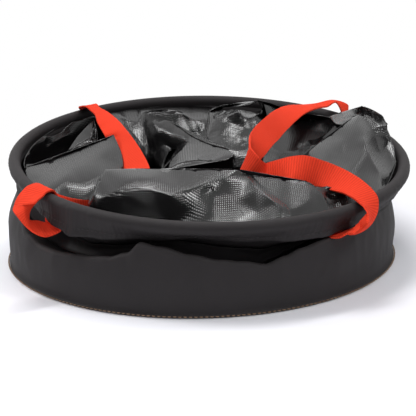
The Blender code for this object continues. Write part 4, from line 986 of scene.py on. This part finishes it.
def crumple(point, amount):
    """Soft ridges across a sheet, in metres of height."""
    ridge = 1 - abs(noise.noise(point * 26)) * 2
    fine = 1 - abs(noise.noise(point * 70 + Vector((4, 1, 2)))) * 2
    return amount * (ridge * 0.7 + fine * 0.3 - 0.5)


def wall_ring(angle):
    """The standing wall's line at an angle, with soft dents and ridges above its foot."""
    ring = []
    for radius, height in wall_line(angle):
        place = polar(angle, radius, height)
        up = within_one((height - WALL_BOTTOM) / 0.02)
        dent = 0.0022 * noise.noise(place * 11) + 0.0009 * noise.noise(place * 34)
        ridge = crumple(Vector((place.x, place.y, place.z * 0.5)), WALL_CRUMPLE) * up
        ring.append(polar(angle, radius + dent * up + ridge, height))
    return ring


def build_wall(matte):
    rows = list(zip(*(wall_ring(360 * step / WALL_STEPS) for step in range(WALL_STEPS))))
    wall = ring_sheet("standing_wall", rows, matte, WALL_ROUND / WALL_STEPS)
    thicken(wall, WALL_THICKNESS, -1)
    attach(wall, "tub")
    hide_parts("lower_wall")


def upper_wall_lines(angle):
    """Two lines up the wall behind the hem, below and above the fold half way up."""
    behind = at_angle(RECESS_SHARES, angle)
    length = hem_length(angle)
    inward = -polar(angle, 1)
    start = polar(angle, *wall_line(angle)[-1])
    end = hem_point(angle, length - 0.004, -0.0030)
    middle = (start + end) / 2
    middle += inward * (0.012 * behind - 0.003 * (1 - behind)) + Vector((0, 0, -0.002 * behind))
    below, above = [], []
    for step in range(LOWER_PART_STEPS + 1):
        share = step / LOWER_PART_STEPS
        place = start.lerp(middle, share) + inward * (0.004 * behind * math.sin(math.pi * share))
        below.append(place + inward * crumple(place, UPPER_WALL_CRUMPLE) * math.sin(math.pi * share))
    for step in range(UPPER_PART_STEPS + 1):
        share = step / UPPER_PART_STEPS
        place = middle.lerp(end, share)
        above.append(place + inward * crumple(place, UPPER_WALL_CRUMPLE) * math.sin(math.pi * share))
    above.append(hem_point(angle, length - 0.011, -0.0034))
    return below, above


def build_upper_wall(matte):
    """The wall between the standing part and the hem, in two sheets that meet half way up."""
    lines = [upper_wall_lines(360 * step / WALL_STEPS) for step in range(WALL_STEPS)]
    below, above = (list(zip(*half)) for half in zip(*lines))
    for name, rows, bodies, rest in (
        ("wall_below_fold", below, ("tub", "folding_wall"), "standing_wall"),
        ("wall_above_fold", above, ("folding_wall", "rim"), "hem"),
    ):
        made = ring_sheet(name, rows, matte, WALL_ROUND / WALL_STEPS)
        thicken(made, UPPER_WALL_THICKNESS, 0)
        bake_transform(made, *bodies, (0, 0, 0.05), (0, 0, 0.10))
        weigh_rows(made, len(rows))


def weigh_rows(obj, rows):
    """The first row follows the first body and the last row the second, on both sides of the sheet."""
    for index, item in enumerate(obj.data.attributes["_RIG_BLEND"].data):
        row = index % (rows * WALL_STEPS) // WALL_STEPS
        item.value = ease(row / (rows - 1))


def build_bottom_stitching(finish):
    radius = WALL_RADIUS + BOTTOM_STITCH_OUT
    count = round(2 * math.pi * radius / BOTTOM_STITCH_PITCH)
    places = []
    for step in range(count):
        angle = 360 * step / count
        outward = polar(angle, 1)
        place = polar(angle, radius, BOTTOM_STITCH_HEIGHT)
        places.append((place, Vector((-outward.y, outward.x, 0)), outward))
    length = BOTTOM_STITCH_PITCH * STITCH_LENGTH_SHARE
    row = stitch_row("bottom_stitches", places, length, BOTTOM_STITCH_RADIUS, finish)
    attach(row, "tub")
    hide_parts("base_stitching")


# The folds inside the rim
def picture_place(across, down, depth):
    """The place at a depth, its Y in millimetres, that the picture shows at a pixel."""
    middle = PICTURE_SIZE / 2
    pixel = Vector((across - middle, middle - down)) / FOCAL_PIXELS
    flat = Matrix.Rotation(CAMERA_ROLL, 2) @ pixel
    way = Vector((flat.x, 0, 0)) + flat.y * CAMERA_UP - CAMERA_BACK
    return CAMERA_PLACE + way * (depth * MM - CAMERA_PLACE.y) / way.y


def ring_place(angle, drop):
    """The place at an angle on the line round which the folds hang, a drop in millimetres under it."""
    twice = math.radians(2 * angle)
    waves = Vector((math.cos(twice), math.sin(twice)))
    radius = RIM_RADIUS * (1 + waves.dot(FOLD_RING_OVAL_SHARES)) - FOLD_RING_INSET
    flat = polar(angle, radius, waves.dot(FOLD_RING_WAVE) - drop * MM)
    return FOLD_RING_TURN @ flat + FOLD_RING_CENTRE


def fold_point(*place):
    """A point of the folds, rounded to tenths and then to whole millimetres."""
    found = ring_place(*place) if len(place) == 2 else picture_place(*place)
    return Vector([round(round(length / MM, 1)) for length in found]) * MM


def fold_net(fold):
    """The faces through a fold's points, creased along its sharp folds, and its corners by label."""
    labels = list(fold["points"])
    places = [fold_point(*place) for place in fold["points"].values()]
    creases = {}
    for run, sharpness in fold["creases"]:
        run = [labels.index(label) for label in run.split()]
        for pair in zip(run, run[1:]):
            creases[frozenset(pair)] = sharpness
    outline = [labels.index(label) for label in fold["outline"].split()]
    flat = [seen_at(place) for place in places]
    if sum(flat[a].cross(flat[b]) for a, b in zip(outline, outline[1:] + outline[:1])) < 0:
        outline.reverse()
    edges = [tuple(pair) for pair in creases]
    _, _, faces, origins, _, _ = geometry.delaunay_2d_cdt(flat, edges, [outline], 1, 1e-6, True)
    made = bmesh.new()
    verts = {index: made.verts.new(places[origin[0]]) for index, origin in enumerate(origins) if origin}
    corners = {labels[origins[index][0]]: vert for index, vert in verts.items()}
    for face in faces:
        if all(index in verts for index in face):
            made.faces.new([verts[index] for index in face])
    crease = made.edges.layers.float.new("crease_edge")
    for pair, sharpness in creases.items():
        ends = [corners[labels[index]] for index in pair if labels[index] in corners]
        edge = made.edges.get(ends) if len(ends) == 2 else None
        if edge:
            edge[crease] = sharpness
    bmesh.ops.join_triangles(
        made, faces=made.faces, cmp_sharp=True, angle_face_threshold=0.5, angle_shape_threshold=0.9
    )
    return made, corners


def add_skirts(made, skirts, corners):
    """Turns a fold's free edges down and out of sight."""
    for run, way in skirts:
        before = [corners[label] for label in run.split() if label in corners]
        for share in SKIRT_SHARES:
            after = [made.verts.new(vert.co + Vector(way) * MM * share) for vert in before]
            for quad in zip(before, before[1:], after[1:], after):
                made.faces.new(quad)
            before = after


def bmesh_object(name, made):
    mesh = bpy.data.meshes.new(name)
    made.to_mesh(mesh)
    made.free()
    return link(bpy.data.objects.new(name, mesh))


def fold_object(name, fold):
    """A folded sheet with its free edges turned down, its folds rounded and its cloth wrinkled."""
    made, corners = fold_net(fold)
    add_skirts(made, fold["skirts"], corners)
    bmesh.ops.recalc_face_normals(made, faces=made.faces)
    if sum(face.normal.z * face.calc_area() for face in made.faces) < 0:
        bmesh.ops.reverse_faces(made, faces=made.faces)
    obj = bmesh_object(name, made)
    smooth = obj.modifiers.new("smooth", "SUBSURF")
    smooth.levels = FOLD_SMOOTHING
    smooth.boundary_smooth = "PRESERVE_CORNERS"
    add_bevel(obj, FOLD_BEND, 3, FOLD_BEND_ANGLE)
    apply_modifiers(obj)
    wrinkle_mesh(obj.data, FOLD_WRINKLES[name])
    return thicken(obj, FOLD_THICKNESS, -1)


def wrinkle_mesh(mesh, amount):
    """Small creases pressed into a sheet, along its own normals."""
    moves = []
    for vert in mesh.vertices:
        wide = vert.co * 18
        bend = Vector((noise.noise(wide), noise.noise(wide + Vector((5, 0, 0))), 0)) * 0.02
        ridge = 1 - abs(noise.noise((vert.co + bend) * 34)) * 2.4
        fine = 1 - abs(noise.noise((vert.co + bend) * 95)) * 2.2
        moves.append(vert.normal * amount * (0.55 * ridge + 0.30 * fine - 0.45))
    for vert, move in zip(mesh.vertices, moves):
        vert.co += move
    mesh.update()


def sticks_out(place):
    """Whether the frame's folded wall would show there, at the rim, outside or through the folds."""
    at_rim = (place.xy - RIM_CENTRE.xy).length > RIM_RADIUS - 0.012
    low_outside = place.xy.length > 0.170 and place.z < 0.072
    at_back = place.y > -0.015 and place.x < 0.075 and place.z > 0.055
    in_front = place.y < -0.125 and -0.115 < place.x < 0.075 and place.z > 0.062
    return at_rim or low_outside or at_back or in_front


def under_folds():
    """The frame's own folded wall, a little lower, for what lies between and under the folds that show."""
    made = bmesh.new()
    made.from_mesh(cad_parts["folded_wall"].data)
    bmesh.ops.remove_doubles(made, verts=made.verts, dist=0.00001)
    outside = [face for face in made.faces if sticks_out(face.calc_center_median())]
    bmesh.ops.delete(made, geom=outside, context="FACES")
    for vert in made.verts:
        if vert.co.z > UNDER_FOLDS_START:
            vert.co.z -= UNDER_FOLDS_DROP
    return bmesh_object("fold_under", made)


def build_folds(finish):
    joined = bmesh.new()
    for obj in [*(fold_object(name, fold) for name, fold in FOLDS.items()), under_folds()]:
        joined.from_mesh(obj.data)
        bpy.data.objects.remove(obj)
    folds = bmesh_object("inner_folds", joined)
    face_uvs(folds.data)
    folds.data.materials.append(finish)
    folds.data.shade_smooth()
    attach(folds, "tub")
    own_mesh(folds)
    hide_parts("folded_wall")


# The handles
def smooth_run(points, steps):
    """A smooth curve through points, with steps between each two."""
    padded = [2 * points[0] - points[1], *points, 2 * points[-1] - points[-2]]
    run = []
    for before, start, end, after in zip(padded, padded[1:], padded[2:], padded[3:]):
        for step in range(steps):
            t = step / steps
            slope = (end - before) * t
            bend = (2 * before - 5 * start + 4 * end - after) * t**2
            twist = (3 * start - before - 3 * end + after) * t**3
            run.append(0.5 * (2 * start + slope + bend + twist))
    return [*run, points[-1]]


def tail_edge(angle, share, outward):
    """Points down one edge of a handle's sewn end, behind the hem."""
    turn = angle + share * math.degrees(WEBBING_WIDTH / 2 / RIM_RADIUS)
    length = hem_length(angle)
    depths = (SLEEVE_RADIUS + 0.0016, (SLEEVE_RADIUS + length) / 2, length)
    return [hem_point(turn, depth, outward) for depth in depths]


def webbing_edge(side, edge, share):
    """One edge of a handle, from its front sewn end to its rear one."""
    front, rear = HANDLE_ANGLES[side]
    behind = -(HEM_LAYER + WEBBING_THICKNESS * 0.75)
    run = tail_edge(front, share, behind)
    run += [Vector(pair[edge]) * MM for pair in WEBBING[side]]
    run += reversed(tail_edge(rear, -share, behind))
    return smooth_run(run, WEBBING_STEPS)


def build_handle(side, finish):
    outward = -1 if side == "left" else 1
    edges = [webbing_edge(side, edge, share) for edge, share in enumerate((outward, -outward))]
    shares = [step / WEBBING_COLUMNS for step in range(WEBBING_COLUMNS + 1)]
    rows = [[low.lerp(high, share) for share in shares] for low, high in zip(*edges)]
    along, uvs = 0.0, []
    for before, row in zip([rows[0], *rows], rows):
        along += ((row[0] - before[0]).length + (row[-1] - before[-1]).length) / 2
        uvs += [(along, WEBBING_WIDTH * share) for share in shares]
    points = [place for row in rows for place in row]
    net = grid_faces(len(rows), len(shares), False)
    handle = mesh_object(f"{side}_webbing", points, net, finish, uvs)
    thicken(handle, WEBBING_THICKNESS, 0)
    add_bevel(handle, WEBBING_EDGE, 2, 60)
    apply_modifiers(handle)
    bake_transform(handle, "rim", f"{side}_handle", (0, 0, 0), (0, 0, 1))
    weigh_handle(handle, [row[WEBBING_COLUMNS // 2] for row in rows])
    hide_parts(f"{side}_handle", f"{side}_front_tail", f"{side}_rear_tail")


def weigh_handle(obj, middle):
    """A handle's sewn ends stay with the rim, and the rest swings."""
    reach = [0.0]
    for before, after in zip(middle, middle[1:]):
        reach.append(reach[-1] + (after - before).length)
    tree = kdtree.KDTree(len(middle))
    for index, place in enumerate(middle):
        tree.insert(place, index)
    tree.balance()
    for vert, item in zip(obj.data.vertices, obj.data.attributes["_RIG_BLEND"].data):
        _, index, _ = tree.find(vert.co)
        short = min(reach[index], reach[-1] - reach[index])
        item.value = ease(within_one((short - HANDLE_FIXED) / HANDLE_TURN))


def build_tack(side, end, angle, finish):
    """A box of stitches with a cross, through a handle's sewn end, on its inner face."""
    top, low = SLEEVE_RADIUS + 0.0030, hem_length(angle) - 0.0016
    behind = -(HEM_LAYER + WEBBING_THICKNESS * 1.35)
    corners = ((-0.85, top), (0.85, top), (0.85, low), (-0.85, low))
    half = math.degrees(WEBBING_WIDTH / 2 / RIM_RADIUS)
    places = []
    for first, second in ((0, 1), (1, 2), (2, 3), (3, 0), (0, 2), (1, 3)):
        (share, depth), (share_after, depth_after) = corners[first], corners[second]
        start = hem_point(angle + share * half, depth, behind)
        way = hem_point(angle + share_after * half, depth_after, behind) - start
        inward = hem_point(angle, depth, behind - 0.01) - hem_point(angle, depth, behind)
        count = max(2, round(way.length / TACK_PITCH))
        for step in range(count):
            t = (step + 0.5) / count
            turn = angle + (share + (share_after - share) * t) * half
            place = hem_point(turn, depth + (depth_after - depth) * t, behind)
            places.append((place, way.normalized(), inward.normalized()))
    tack = stitch_row(f"{side}_{end}_stitches", places, TACK_LENGTH, TACK_RADIUS, finish)
    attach(tack, "rim")
    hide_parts(f"{side}_{end}_tack")


# The frame's own solids that stay
def dress_frame_parts(matte, coated, plastic):
    for name, finish in (
        ("base_panel", coated), ("base_binding", matte), ("wall_seam_tape", coated),
        ("rim_hoop", plastic), ("hoop_joiner", plastic),
    ):
        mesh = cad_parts[name].data
        mesh.materials.clear()
        mesh.materials.append(finish)


def main():
    set_camera()
    set_world()
    add_floor()
    add_lights()
    matte, inside, orange = matte_fabric(), coated_fabric(), webbing()
    brown = thread("seam_thread", (0.26, 0.17, 0.11))
    dark = thread("thread", (0.05, 0.045, 0.045))
    build_hem(matte)
    build_hem_stitching(dark)
    build_wall(matte)
    build_upper_wall(matte)
    build_bottom_stitching(brown)
    build_folds(inside)
    for side, (front, rear) in HANDLE_ANGLES.items():
        build_handle(side, orange)
        build_tack(side, "front", front, dark)
        build_tack(side, "rear", rear, dark)
    dress_frame_parts(matte, inside, moulded_plastic())


main()
